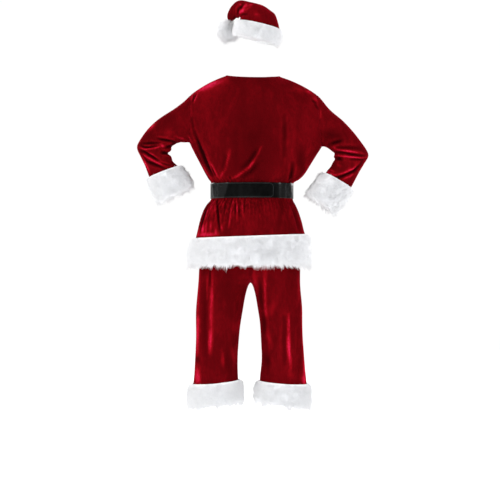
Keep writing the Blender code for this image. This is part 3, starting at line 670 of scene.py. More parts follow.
def keep_painted_light(data, nap):
    # Painted light for the velvet's colour: painted highlight above 0, painted shade below.
    keep_value(data, "nap", np.clip(nap, -0.7, 1.0))


def piece_numbers(data):
    """The lowest and the highest piece number round each point. They differ on a seam."""
    low = np.full(len(data.vertices), 99)
    high = np.full(len(data.vertices), -1)
    number = np.empty(len(data.polygons), dtype=np.int32)
    data.polygons.foreach_get("material_index", number)
    corner = np.empty(len(data.loops), dtype=np.int32)
    data.loops.foreach_get("vertex_index", corner)
    sides = np.empty(len(data.polygons), dtype=np.int32)
    data.polygons.foreach_get("loop_total", sides)
    of_corner = np.repeat(number, sides)
    np.minimum.at(low, corner, of_corner)
    np.maximum.at(high, corner, of_corner)
    return low, high


def seam_groove(data, depth):
    """A seam pulls the cloth in along its line."""
    low, high = piece_numbers(data)
    return np.where(low != high, -depth, 0.0)


share, off = along_line(np.array([(0.05, 0.0, 0.01)]), ((0, 0), (100, 0)))
print("test point:", share[0], "of the way along,", off[0], "m off the line")

# %% [markdown]
# ## Cutting the skin into its pieces
# A tailor cuts the pieces flat and sews them. Here the sewn and folded skin comes first, and each
# piece is cut out of it again, so neighbours still meet at the seam. Each gets the thickness of
# velvet. The wrong side of the cloth shows at the neck, the cuffs and the hems, so it has its
# own finish.

# %% Cut and thicken
CLOTH = 0.0016


def cut_piece(data, number, node, name):
    mesh = bmesh.new()
    mesh.from_mesh(data)
    keep_faces(mesh, lambda face: face.material_index == number)
    for face in mesh.faces:
        face.material_index = 0
        face.smooth = True
    piece = new_object(name, written(mesh, name), (velvet, velvet_back))
    used = sum(face.area for face in piece.data.polygons)
    print(name, round(used, 3), "square metres of cloth")
    wall = piece.modifiers.new("thickness", "SOLIDIFY")
    wall.thickness = CLOTH
    wall.offset = -1
    wall.material_offset = 1
    wall.material_offset_rim = 0
    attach(piece, "root")
    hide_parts(node)


def make_garment(pieces, fold, levels=2, finer=None):
    """Takes the skin of a garment, folds it, and cuts it up."""
    skin = garment_skin([node for node, *_ in pieces], levels, finer)
    fold(skin)
    for number, (node, name, flat, area) in enumerate(pieces):
        cut_piece(skin, number, node, name)


print("velvet", CLOTH / MM, "mm thick")

# %% [markdown]
# ## The jacket
# The belt draws the jacket in, so short creases run up from it and fine gathers hang below it.
# The sleeves are bent and turned in to the waist. That pulls creases from the armholes and
# crushes each sleeve at the inside of its bend. The gathers repeat right round, so a sine wave
# makes them, and the creases are drawn one by one. The fronts and the fronts of the sleeves get
# similar ones.

# %% Folds on the jacket's back
BACK_FOLDS = (
    # half width and depth in mm, light, then the points of the line in mm
    # left shoulder
    (15, 0, 0.66, (218, -50), (170, -30), (135, -14), (105, -8)),
    (32, 0, 0.14, (205, -65), (120, -35)),
    (3.0, -1.0, 0.45, (203, -60), (213, -85), (217, -98)),
    (3.0, -1.0, 0.30, (222, -60), (227, -88)),
    (3.0, -0.8, 0.20, (233, -62), (231, -83)),
    (3.2, 1.2, -0.35, (218, -66), (222, -92)),
    (2.5, 1.2, -0.30, (210, -62), (216, -84)),
    (4.0, 0, 0.10, (228, -100), (227, -150)),
    # left side
    (4.0, 0, -0.20, (226, -155), (220, -200)),
    (5.9, 4.5, -0.55, (218, -207), (200, -249), (184, -288), (162, -341), (147, -368)),
    (9.0, 0, -0.22, (205, -250), (180, -310), (155, -365)),
    (3.0, -0.5, 0.22, (215, -212), (198, -244), (176, -294)),
    (3.0, -0.8, 0.35, (165, -313), (151, -352)),
    (3.0, -0.8, 0.40, (155, -325), (142, -347), (126, -380)),
    (3.2, 1.5, -0.35, (152, -336), (137, -370)),
    (3.0, -0.8, 0.28, (240, -222), (223, -250)),
    (4.0, -0.8, 0.38, (182, -341), (168, -366), (148, -389)),
    (4.0, 1.0, -0.20, (212, -276), (182, -335)),
    # middle of the back
    (95, 0, -0.10, (10, -90), (-10, -230), (-20, -370)),
    (85, 0, -0.10, (10, -270), (0, -400)),
    (4.0, -1.5, 0.38, (81, -278), (85, -297), (92, -322), (100, -350)),
    (3.5, -1.5, 0.38, (100, -350), (114, -372), (122, -384)),
    (6.0, 1.5, -0.18, (96, -300), (112, -350)),
    (3.5, 0, -0.30, (84, -376), (80, -384)),
    (4.0, -1.5, 0.45, (75, -384), (53, -375), (36, -362), (22, -352)),
    (5.0, -2.0, 0.60, (22, -352), (8, -341), (-3, -325), (-11, -313)),
    (4.0, -1.5, 0.35, (-11, -313), (-22, -294), (-30, -277), (-37, -264)),
    (9.0, 1.5, -0.20, (40, -350), (6, -318), (-18, -280)),
    (9.0, 1.5, -0.20, (45, -385), (5, -362), (-20, -330)),
    # right side and shoulder
    (7.0, 1.5, -0.20, (-120, -150), (-121, -220), (-120, -300)),
    (6.5, 2.5, -0.38, (-152, -325), (-148, -360), (-144, -395)),
    (3.0, 1.0, -0.25, (-140, -366), (-139, -396)),
    (16, 1.5, -0.18, (-180, -270), (-188, -350)),
    (9.0, -0.8, 0.12, (-200, -320), (-208, -372)),
    (7.0, 0, 0.18, (-160, -38), (-190, -52)),
    (6.0, -1.0, 0.38, (-203, -50), (-224, -60)),
    (7.0, -1.0, 0.34, (-230, -73), (-246, -92)),
    (4.0, 1.0, -0.30, (-226, -90), (-240, -98)),
    (4.0, 1.0, -0.25, (-235, -104), (-246, -120)),
    (3.0, -0.5, 0.22, (-257, -120), (-257, -156)),
    # below the belt
    (4.5, 3.0, -0.60, (160, -463), (167, -480), (175, -500), (189, -547), (195, -572)),
    (3.9, 3.0, -0.60, (131, -465), (129, -488), (127, -517), (124, -547), (120, -578)),
    (4.0, 0, 0.35, (200, -562), (205, -592)),
    (6.0, 0, 0.60, (184, -555), (187, -590)),
    (4.0, -0.8, 0.40, (170, -545), (173, -588)),
    (4.0, -0.8, 0.35, (153, -542), (155, -582)),
    (4.0, 0, 0.45, (136, -570), (133, -590)),
    (6.0, 0, 0.60, (208, -594), (128, -592)),
    (3.0, -1.2, 0.35, (162, -478), (168, -510), (174, -540)),
    (5.0, -1.2, 0.30, (150, -470), (154, -525)),
    (3.0, -1.2, 0.30, (139, -460), (137, -515)),
    (4.0, 0, 0.35, (113, -560), (111, -577)),
    (3.5, -0.8, 0.20, (115, -463), (107, -485)),
    (3.5, -1.2, 0.36, (67, -462), (72, -482), (78, -509), (82, -538), (86, -570)),
    (3.0, -1.2, 0.34, (57, -464), (56, -494), (56, -540)),
    (3.0, -1.2, 0.34, (39, -458), (36, -495), (31, -534)),
    (3.2, 1.5, -0.35, (63, -464), (62, -518)),
    (3.2, 1.5, -0.35, (50, -464), (48, -522)),
    (2.5, 1.2, -0.25, (28, -464), (27, -505)),
    (2.5, 1.2, -0.25, (98, -462), (103, -510)),
    (4.0, -0.8, 0.15, (17, -460), (14, -480)),
    (5.0, -0.8, 0.14, (-141, -490), (-141, -530)),
    (8.0, 1.5, -0.12, (-113, -475), (-98, -568)),
    (6.0, 1.5, -0.15, (-155, -500), (-176, -575)),
)
print(len(BACK_FOLDS), "folds on the back")

# %% Folds on the jacket's fronts
FRONT_FOLDS = (
    # half width and depth in mm, light, then the points of the line in mm
    (13, 0, 0.42, (215, -52), (150, -26), (108, -14)),
    (11, 0, 0.25, (-108, -14), (-220, -60)),
    (3.0, -0.8, 0.35, (206, -64), (214, -96)),
    (3.0, -0.8, 0.30, (-212, -70), (-226, -110)),
    (9.0, 4.5, -0.25, (120, -388), (85, -270)),
    (5.0, -1.0, 0.32, (106, -388), (78, -300)),
    (10, 5.0, -0.30, (145, -385), (200, -240)),
    (7.0, 3.0, -0.20, (75, -390), (62, -330)),
    (9.0, 4.5, -0.25, (-85, -392), (-68, -300)),
    (5.0, -1.0, 0.30, (-72, -390), (-58, -310)),
    (10, 4.5, -0.30, (-130, -385), (-195, -235)),
    (6.5, 3.0, -0.40, (130, -464), (150, -570)),
    (6.5, 3.0, -0.40, (-120, -464), (-140, -570)),
    (4.0, 2.0, -0.30, (80, -462), (88, -530)),
    (4.0, 2.0, -0.30, (-75, -462), (-82, -530)),
    (4.0, -1.0, 0.32, (145, -470), (165, -580)),
    (4.0, -1.0, 0.32, (66, -464), (70, -545)),
    (4.0, -1.0, 0.30, (-98, -464), (-110, -560)),
    (6.0, 0, 0.40, (-190, -590), (-125, -585)),
)
JACKET_FOLDS = {"back": BACK_FOLDS, "front": FRONT_FOLDS}
print(len(FRONT_FOLDS), "folds on the fronts")

# %% Folds on the sleeves
SLEEVE_BACK_FOLDS = (
    # half width and depth in mm, light, then the points of the line in mm
    # left sleeve
    (9.0, 0, 0.60, (368, -170), (390, -196)),
    (4.0, 0, 0.30, (416, -222), (426, -242)),
    (14, 0, 0.18, (328, -212), (298, -212)),
    (4.0, -1.0, 0.38, (286, -224), (262, -232), (246, -238)),
    (5.0, -1.0, 0.38, (348, -252), (326, -263)),
    (4.0, -1.0, 0.52, (414, -298), (404, -320), (392, -346), (386, -360)),
    (3.0, -0.8, 0.22, (345, -318), (314, -327)),
    (3.0, 1.5, -0.30, (340, -323), (308, -332)),
    (5.2, 1.5, -0.35, (300, -322), (290, -328)),
    (3.0, 0, 0.28, (284, -320), (280, -336)),
    # right sleeve
    (4.5, 0, 0.60, (-286, -345), (-286, -364)),
    (4.0, -0.8, 0.38, (-290, -346), (-311, -358)),
    (4.0, -0.8, 0.42, (-288, -357), (-312, -370)),
    (5.0, -0.8, 0.20, (-320, -328), (-333, -338)),
    (4.0, -0.8, 0.34, (-382, -360), (-365, -374), (-345, -383)),
    (6.0, 0, 0.32, (-364, -180), (-382, -200)),
    (3.0, 1.0, -0.25, (-362, -186), (-377, -200)),
    (18, 0, -0.18, (-270, -214), (-335, -228)),
)
SLEEVE_ROUND_FOLDS = (
    # half width and depth in mm, light, then the points of the line in mm
    # left sleeve
    (3.0, -1.0, 0.28, (352, -226), (290, -237)),
    (5.2, 3.0, -0.50, (352, -233), (320, -238), (286, -243)),
    (4.5, 2.0, -0.40, (415, -250), (380, -250), (346, -249)),
    (5.2, 3.0, -0.55, (324, -265), (306, -258), (290, -248)),
    (3.9, 2.5, -0.50, (420, -256), (405, -265), (385, -267), (358, -261)),
    (3.5, -1.5, 0.48, (420, -267), (398, -272), (370, -270), (334, -261)),
    (5.2, 3.5, -0.60, (422, -275), (395, -287), (374, -300), (354, -313)),
    (3.0, -1.0, 0.36, (396, -281), (372, -293), (348, -310)),
    (5.2, 4.0, -0.60, (338, -285), (312, -286)),
    (3.5, -1.2, 0.42, (418, -287), (400, -298), (370, -314), (345, -328), (322, -342)),
    (5.2, 3.0, -0.48, (418, -284), (407, -303), (395, -318), (370, -328), (320, -346)),
    # right sleeve
    (6.5, 2.5, -0.42, (-292, -253), (-315, -246), (-336, -240)),
    (6.0, 2.5, -0.30, (-320, -266), (-360, -267), (-402, -268)),
    (4.0, -1.5, 0.46, (-306, -262), (-318, -272), (-345, -279), (-375, -283), (-418, -289)),
    (5.2, 2.5, -0.45, (-312, -281), (-345, -286), (-375, -292), (-420, -297)),
    (3.0, -1.5, 0.52, (-316, -296), (-345, -299), (-375, -303), (-405, -306), (-430, -302)),
    (6.5, 3.0, -0.50, (-318, -304), (-333, -309)),
    (4.5, 2.0, -0.35, (-370, -310), (-410, -311), (-428, -306)),
    (5.9, 3.5, -0.58, (-416, -318), (-400, -335), (-380, -355), (-340, -372), (-308, -382)),
    (4.0, -1.5, 0.58, (-406, -325), (-385, -342), (-360, -356), (-335, -364), (-312, -370)),
)
SLEEVE_FRONT_FOLDS = (
    # half width and depth in mm, light, then the points of the line in mm
    (10, 0, 0.45, (366, -168), (390, -198)),
    (10, 0, 0.35, (-350, -170), (-390, -212)),
)
SLEEVE_FOLDS = {
    "back": SLEEVE_BACK_FOLDS,
    "round": SLEEVE_ROUND_FOLDS,
    "front": SLEEVE_FRONT_FOLDS,
}
print(sum(len(rows) for rows in SLEEVE_FOLDS.values()), "folds on the sleeves")

# %% Fold and cut the jacket
JACKET = (
    # node, name, flat size in metres, flat area in square metres
    ("jacket_back", "back_panel", (0.60, 0.70), 0.37),
    ("jacket_front_left", "front_panel_left", (0.32, 0.70), 0.18),
    ("jacket_front_right", "front_panel_right", (0.32, 0.70), 0.18),
    ("sleeve_left", "sleeve_cloth_left", (0.46, 0.38), 0.125),
    ("sleeve_right", "sleeve_cloth_right", (0.46, 0.38), 0.125),
)
BACK = 0
SLEEVES = (3, 4)
JACKET_SEAM = 0.0010
JACKET_ROLLS = ((0.0018, 0.11, (1, 1, 0.7), 1), (0.0007, 0.04, (1, 1, 0.6), 2))
JACKET_Y = 0.0
SLEEVE_Y = 0.015
BODY_HALF = 0.25
UPPER_BACK = -0.25
BELT_TOP = -0.3975
BELT_BOTTOM = -0.456
GATHERS = 62
GATHER_HEIGHT = 0.0012
GATHER_BELOW = 0.075
GATHER_ABOVE = 0.014
BELT_PRESS = 0.0006


def fold_jacket(data):
    places, _ = read_mesh(data)
    x, y, z = places.T
    move, nap = fold_lines(places, JACKET_Y, JACKET_FOLDS)
    sleeve_move, sleeve_painted_light = fold_lines(places, SLEEVE_Y, SLEEVE_FOLDS)
    move += sleeve_move + rolls(places, JACKET_ROLLS)
    nap += sleeve_painted_light
    on_body = np.abs(x) < BODY_HALF
    turn = np.arctan2(x, -y)
    below = np.exp(-(((z - BELT_BOTTOM) / GATHER_BELOW) ** 2)) * (z < BELT_BOTTOM)
    above = np.exp(-np.abs(z - BELT_TOP) / GATHER_ABOVE) * (z > BELT_TOP)
    gather = np.sin(GATHERS * turn + 3.0 * roll(places, 0.07, (1, 1, 0.25), 3))
    strong = 0.25 + 0.75 * rise(x, -0.1, 0.1)
    gathers = on_body * strong * (below + 0.7 * above)
    move += GATHER_HEIGHT * gathers * gather
    # Painted light on the gathers: lighter on their ridges and darker in their troughs.
    nap += 0.12 * gathers * gather
    behind_belt = on_body * rise(np.minimum(z - BELT_BOTTOM, BELT_TOP - z), -0.006, 0.002)
    push(data, move * (1 - behind_belt) - BELT_PRESS * behind_belt)
    push(data, seam_groove(data, JACKET_SEAM))
    # The painted light, and where the gathers are, in which the velvet paints streaks of shade
    # and highlight.
    keep_painted_light(data, nap)
    keep_value(data, "gather", gathers)


def jacket_detail(face):
    """The sleeves and the upper back have wide faces and fine creases."""
    upper_back = face.material_index == BACK and face.calc_center_median().z > UPPER_BACK
    return face.material_index in SLEEVES or upper_back


make_garment(JACKET, fold_jacket, finer=jacket_detail)

# %% [markdown]
# ## The trousers
# The trousers are cut straight and wide, and fall in a few long soft folds from the seat. The
# cloth breaks a little above the plush bands. Long folds could come from stretched noise, but
# then they would not end where the real ones do, so they are drawn too. The part under the
# jacket stays smooth.

# %% Folds on the trousers
SEAT_FOLDS = (
    # half width and depth in mm, light, then the points of the line in mm
    # left leg
    (4.0, -1.5, 0.30, (149, -715), (149, -800), (150, -855)),
    (6.0, -2.0, 0.40, (151, -800), (152, -880), (153, -970)),
    (7.5, -2.5, 0.62, (154, -950), (156, -995), (157, -1036)),
    (3.0, -0.8, 0.24, (167, -740), (168, -780), (169, -838)),
    (3.5, 2.0, -0.30, (158, -715), (157, -780)),
    (9.0, 2.5, -0.15, (178, -780), (178, -1050)),
    (5.0, 0, 0.30, (200, -720), (202, -800), (204, -940)),
    (7.0, 0, 0.55, (204, -900), (206, -980), (208, -1045)),
    (7.0, 0, -0.30, (204, -1064), (215, -1068)),
    (12, 0, 0.62, (205, -1095), (204, -1155)),
    (6.0, 0, 0.12, (105, -830), (104, -870)),
    (9.0, -1.0, 0.15, (72, -920), (60, -958)),
    (5.0, 0, 0.22, (50, -915), (51, -945)),
    (6.0, -1.5, 0.24, (112, -1030), (108, -1085)),
    (7.0, -1.5, 0.24, (75, -1020), (66, -1070)),
    (5.0, 0, 0.24, (58, -1010), (58, -1060)),
    (10, 2.5, -0.12, (95, -1030), (88, -1100)),
    (34, 0, -0.10, (80, -720), (100, -900)),
    # right leg
    (8.0, -1.5, 0.30, (-8, -725), (-12, -770), (-19, -820)),
    (6.0, 2.0, -0.22, (-30, -770), (-30, -830), (-38, -870)),
    (4.5, -2.0, 0.44, (-48, -700), (-49, -780), (-49, -855)),
    (6.5, -1.5, 0.36, (-49, -850), (-52, -905)),
    (10, -0.8, 0.22, (-82, -842), (-70, -888)),
    (8.0, 2.0, -0.26, (-42, -895), (-45, -960)),
    (7.0, -1.0, 0.24, (-55, -945), (-62, -975), (-68, -1010)),
    (10, 1.5, -0.18, (-50, -1040), (-60, -1080)),
    (4.5, -2.0, 0.52, (-136, -890), (-136, -930), (-136, -970)),
    (6.5, -2.5, 0.66, (-135, -970), (-136, -1005), (-139, -1045)),
    (5.0, -1.5, 0.42, (-141, -1035), (-144, -1095)),
    (9.0, 2.5, -0.16, (-120, -900), (-122, -1080)),
    (4.0, 0, 0.14, (-172, -740), (-174, -850)),
    (4.5, 0, 0.45, (-187, -850), (-191, -960), (-195, -1060)),
    (7.0, 0, 0.75, (-198, -1070), (-203, -1120)),
    (11, 0, 0.55, (-196, -1120), (-200, -1158)),
    (11, 0, 0.18, (-142, -1105), (-146, -1130)),
    (30, 0, 0.08, (-140, -1120), (-120, -900)),
)
TROUSER_FRONT_FOLDS = (
    # half width and depth in mm, light, then the points of the line in mm
    (11, 4.5, -0.20, (155, -740), (150, -1080)),
    (8.0, -1.5, 0.45, (140, -760), (138, -1060)),
    (12, 3.5, -0.15, (60, -760), (130, -860)),
    (9.0, -1.0, 0.28, (72, -750), (108, -850)),
    (9.0, 3.5, -0.15, (95, -930), (100, -1120)),
    (11, 3.0, -0.15, (180, -1080), (120, -1115)),
    (11, 4.5, -0.20, (-130, -760), (-135, -1090)),
    (8.0, -1.5, 0.48, (-145, -780), (-148, -1070)),
    (12, 3.5, -0.15, (-45, -760), (-115, -860)),
    (9.0, -1.0, 0.28, (-58, -750), (-92, -850)),
    (9.0, 3.5, -0.15, (-80, -920), (-88, -1120)),
)
TROUSER_FOLDS = {"back": SEAT_FOLDS, "front": TROUSER_FRONT_FOLDS}
print(sum(len(rows) for rows in TROUSER_FOLDS.values()), "folds on the trousers")

# %% Fold and cut the trousers
TROUSERS = (
    # node, name, flat size in metres, flat area in square metres
    ("trouser_back_left", "seat_left", (0.32, 0.80), 0.20),
    ("trouser_back_right", "seat_right", (0.32, 0.80), 0.20),
    ("trouser_front_left", "trouser_panel_left", (0.32, 0.80), 0.20),
    ("trouser_front_right", "trouser_panel_right", (0.32, 0.80), 0.20),
)
TROUSER_ROLLS = ((0.0030, 0.10, (1, 1, 0.35), 5), (0.0010, 0.045, (1, 1, 0.5), 6))
TROUSER_Y = 0.004
TROUSER_SEAM = 0.0012
SMOOTH_DOWN_TO = -0.48
FOLDED_FROM = -0.58


def fold_trousers(data):
    places, _ = read_mesh(data)
    move, nap = fold_lines(places, TROUSER_Y, TROUSER_FOLDS)
    move += rolls(places, TROUSER_ROLLS)
    push(data, move * rise(places[:, 2], SMOOTH_DOWN_TO, FOLDED_FROM))
    push(data, seam_groove(data, TROUSER_SEAM))
    # Painted light of the folds, kept for the velvet's colour.
    keep_painted_light(data, nap)


make_garment(TROUSERS, fold_trousers)

# %% [markdown]
# ## The waistband
# Two rows of elastic run through the waistband and draw the velvet into small even gathers. The
# rows are thin, so they show as two shallow grooves right round. Both follow one rule all the
# way, so a wave and two dips make them, without a line of points.

# %% Waistband
WAISTBAND = (("trouser_waistband", "waistband_cloth", (1.05, 0.045), 0.045),)
WAIST_MIDDLE = -0.4275
WAIST_HALF = 0.0225
WAIST_GATHERS = 72
WAIST_GATHER_HEIGHT = 0.0009
ELASTIC_AT = 0.4
ELASTIC_HALF = 0.14
ELASTIC_DEPTH = 0.0008


def fold_waistband(data):
    places, _ = read_mesh(data)
    x, y, z = places.T
    turn = np.arctan2(x, -y)
    height = (z - WAIST_MIDDLE) / WAIST_HALF
    gather = np.sin(WAIST_GATHERS * turn + 2.0 * roll(places, 0.06, (1, 1, 0.3), 7))
    elastic = np.exp(-(((np.abs(height) - ELASTIC_AT) / ELASTIC_HALF) ** 2))
    gathers = WAIST_GATHER_HEIGHT * gather * (1 - 0.6 * elastic)
    push(data, gathers - ELASTIC_DEPTH * elastic - BELT_PRESS)
    # Painted light on the gathers: lighter on their ridges, darker in their troughs.
    keep_painted_light(data, 0.15 * gather)
    # The whole band counts as gathered, so the velvet paints streaks of shade and highlight all
    # round.
    keep_value(data, "gather", np.full(len(places), 0.6))


make_garment(WAISTBAND, fold_waistband, levels=3)

# %% [markdown]
# ## The hat
# The crown is a cone of two pieces that folds over to one side and ends in a pompom. Soft folds
# fan out from the place where it tips over. They are drawn like those of the jacket, and the back
# of the crown is split once more, because its folds are small and close together.

# %% Folds on the hat
CROWN_BACK_FOLDS = (
    # half width and depth in mm, light, then the points of the line in mm
    (42, 0, 0.07, (30, 262), (-50, 248)),
    (7.0, -1.5, 0.48, (36, 261), (26, 267), (16, 273)),
    (5.0, -1.0, 0.36, (10, 267), (-4, 277)),
    (6.0, 0, 0.16, (-24, 273), (-40, 270)),
    (7.0, -1.5, 0.52, (47, 245), (36, 249), (26, 253)),
    (3.0, -1.0, 0.22, (24, 250), (2, 262)),
    (5.0, 0, 0.26, (-8, 232), (-24, 228)),
    (5.9, 3.5, -0.50, (34, 272), (41, 265), (49, 255)),
    (4.5, 3.0, -0.50, (54, 260), (53, 246), (50, 238)),
    (3.0, -1.0, 0.32, (47, 277), (39, 270)),
    (3.0, -1.0, 0.26, (59, 268), (58, 248)),
    (3.0, -0.8, 0.28, (73, 250), (67, 262)),
    (3.9, 2.0, -0.40, (69, 240), (65, 256)),
    (4.0, 1.5, -0.25, (40, 238), (20, 233)),
    (6.0, 2.0, -0.15, (-45, 262), (-75, 252)),
)
CROWN_FRONT_FOLDS = (
    # half width and depth in mm, light, then the points of the line in mm
    (8.0, 4.0, -0.30, (40, 252), (-45, 262)),
    (8.0, 3.0, -0.25, (40, 236), (-50, 236)),
    (6.0, -1.5, 0.35, (35, 263), (-35, 272)),
    (6.5, 3.0, -0.40, (62, 236), (52, 272)),
)
HAT_FOLDS = {"back": CROWN_BACK_FOLDS, "front": CROWN_FRONT_FOLDS}
print(sum(len(rows) for rows in HAT_FOLDS.values()), "folds on the hat")

# %% Fold and cut the hat
HAT = (
    # node, name, flat size in metres, flat area in square metres
    ("hat_crown_back", "crown_back", (0.28, 0.26), 0.036),
    ("hat_crown_front", "crown_front", (0.28, 0.26), 0.036),
)
CROWN_BACK = 0
HAT_ROLLS = ((0.0018, 0.05, (1, 1, 1), 8), (0.0007, 0.022, (1, 1, 1), 9))
HAT_Y = 0.0
HAT_SEAM = 0.0010


def fold_hat(data):
    places, _ = read_mesh(data)
    move, nap = fold_lines(places, HAT_Y, HAT_FOLDS)
    push(data, move + rolls(places, HAT_ROLLS))
    push(data, seam_groove(data, HAT_SEAM))
    # Painted light of the folds, kept for the velvet's colour.
    keep_painted_light(data, nap)


make_garment(HAT, fold_hat, finer=lambda face: face.material_index == CROWN_BACK)

# %% [markdown]
# ## Plush grounds
# The knit ground of real plush hides under its pile. Each band starts from its solid, which
# reaches as far as the pile does, so the ground is that form drawn in by about a third of the
# pile on the sides that carry hair, with low clumps. A value called pile, from 0 inside to 1
# outside, says where the hair grows. A value called long says how long it is there, and a
# vector called comb says which way it lies. These could be painted by hand, but each follows
# from the way that the face looks. The lower edge of a ground is lifted, and its longer locks
# hang down past it.

# %% Ground of a band
DRAW_IN = 0.0042
CLUMP_HEIGHT = 0.0022
HEM_LIFT = 0.0065
BANDS = (
    # node, name, way along the axis, flat size, fringe
    ("jacket_hem_plush", "hem_ground", (0, 0, 1), (1.20, 0.105), 1.0),
    ("cuff_plush_left", "cuff_ground_left", (0.42, 0, 0.91), (0.38, 0.110), 0.8),
    ("cuff_plush_right", "cuff_ground_right", (-0.46, 0, 0.89), (0.38, 0.115), 0.8),
    ("leg_plush_left", "leg_ground_left", (0, 0, 1), (0.57, 0.100), 1.0),
    ("leg_plush_right", "leg_ground_right", (0, 0, 1), (0.57, 0.100), 1.0),
    ("hat_band_plush", "hat_ground", (-0.225, 0, 0.974), (0.60, 0.062), 0.1),
)


def ring_pile(axis, fringe):
    """For a band about that axis: where the hair grows, where the lower edge is, and the way
    out and up."""
    axis = np.array(axis, dtype=float)
    axis /= np.linalg.norm(axis)

    def pile_at(places, normals):
        out = places - (places.min(axis=0) + places.max(axis=0)) / 2
        out -= (out @ axis)[:, None] * axis
        out /= np.linalg.norm(out, axis=1)[:, None] + 1e-9
        grows = rise((normals * out).sum(axis=1), -0.35, 0.15)
        return grows, fringe * rise(-normals @ axis, 0.15, 0.70), out, axis

    return pile_at


def strip_pile(places, normals):
    """For the strip, which lies on the front: its hair grows forwards."""
    out = np.tile((0.0, -1.0, 0.0), (len(places), 1))
    grows = rise(-normals[:, 1], -0.30, 0.20)
    return grows, np.zeros(len(places)), out, np.array((0, 0, 1))


def ball_pile(places, normals):
    """For the pompom: hair all round, a little longer below."""
    low = 0.4 * rise(-normals[:, 2], 0, 1)
    return np.ones(len(places)), low, normals, np.array((0, 0, 0))


def make_ground(node, name, pile_at, levels=2):
    mesh = merged_copy(node)
    quads(mesh)
    data = subdivided(mesh, levels)
    data.name = name
    places, normals = read_mesh(data)
    grows, low, out, axis = pile_at(places, normals)
    clumps = roll(places, 0.013, (1, 1, 1), 11) + 0.9 * roll(places, 0.032, (1, 1, 1), 12)
    push(data, grows * (-DRAW_IN + CLUMP_HEIGHT * clumps))
    places, _ = read_mesh(data)
    data.vertices.foreach_set("co", (places + HEM_LIFT * low[:, None] * axis).ravel())
    locks = np.random.default_rng(len(places)).uniform(-0.55, 1.55, len(places))
    uneven = 1 + 0.45 * roll(places, 0.020, (1, 1, 1), 13)
    keep_value(data, "pile", grows)
    keep_value(data, "long", (0.75 + 0.25 * grows) * (1 + locks * low) * uneven)
    keep_value(data, "comb", out + 0.2 * normals - 1.2 * low[:, None] * axis)
    data.shade_smooth()
    data.materials.clear()
    return new_object(name, data, (plush_ground,))


print(len(BANDS), "bands of plush")

# %% [markdown]
# ## Hair of the plush
# Thousands of small tufts stand on each ground. A hair system could grow them, but only a plain
# mesh can be kept with the model, so Geometry Nodes scatter them: points are spread over the
# surface, each gets a slim three sided tuft, and noise leans neighbours the same way, so the pile
# falls in soft clumps. The seed is fixed, so the hair is the same each time. The tree's inputs
# are its sizes: tufts for each square metre, their length and width in metres, how strongly they
# clump, and how far they droop.

# %% Tuft tree
HAIR = {"Density": 420000.0, "Length": 0.0140, "Width": 0.00050, "Clump": 2.0, "Droop": 0.6}


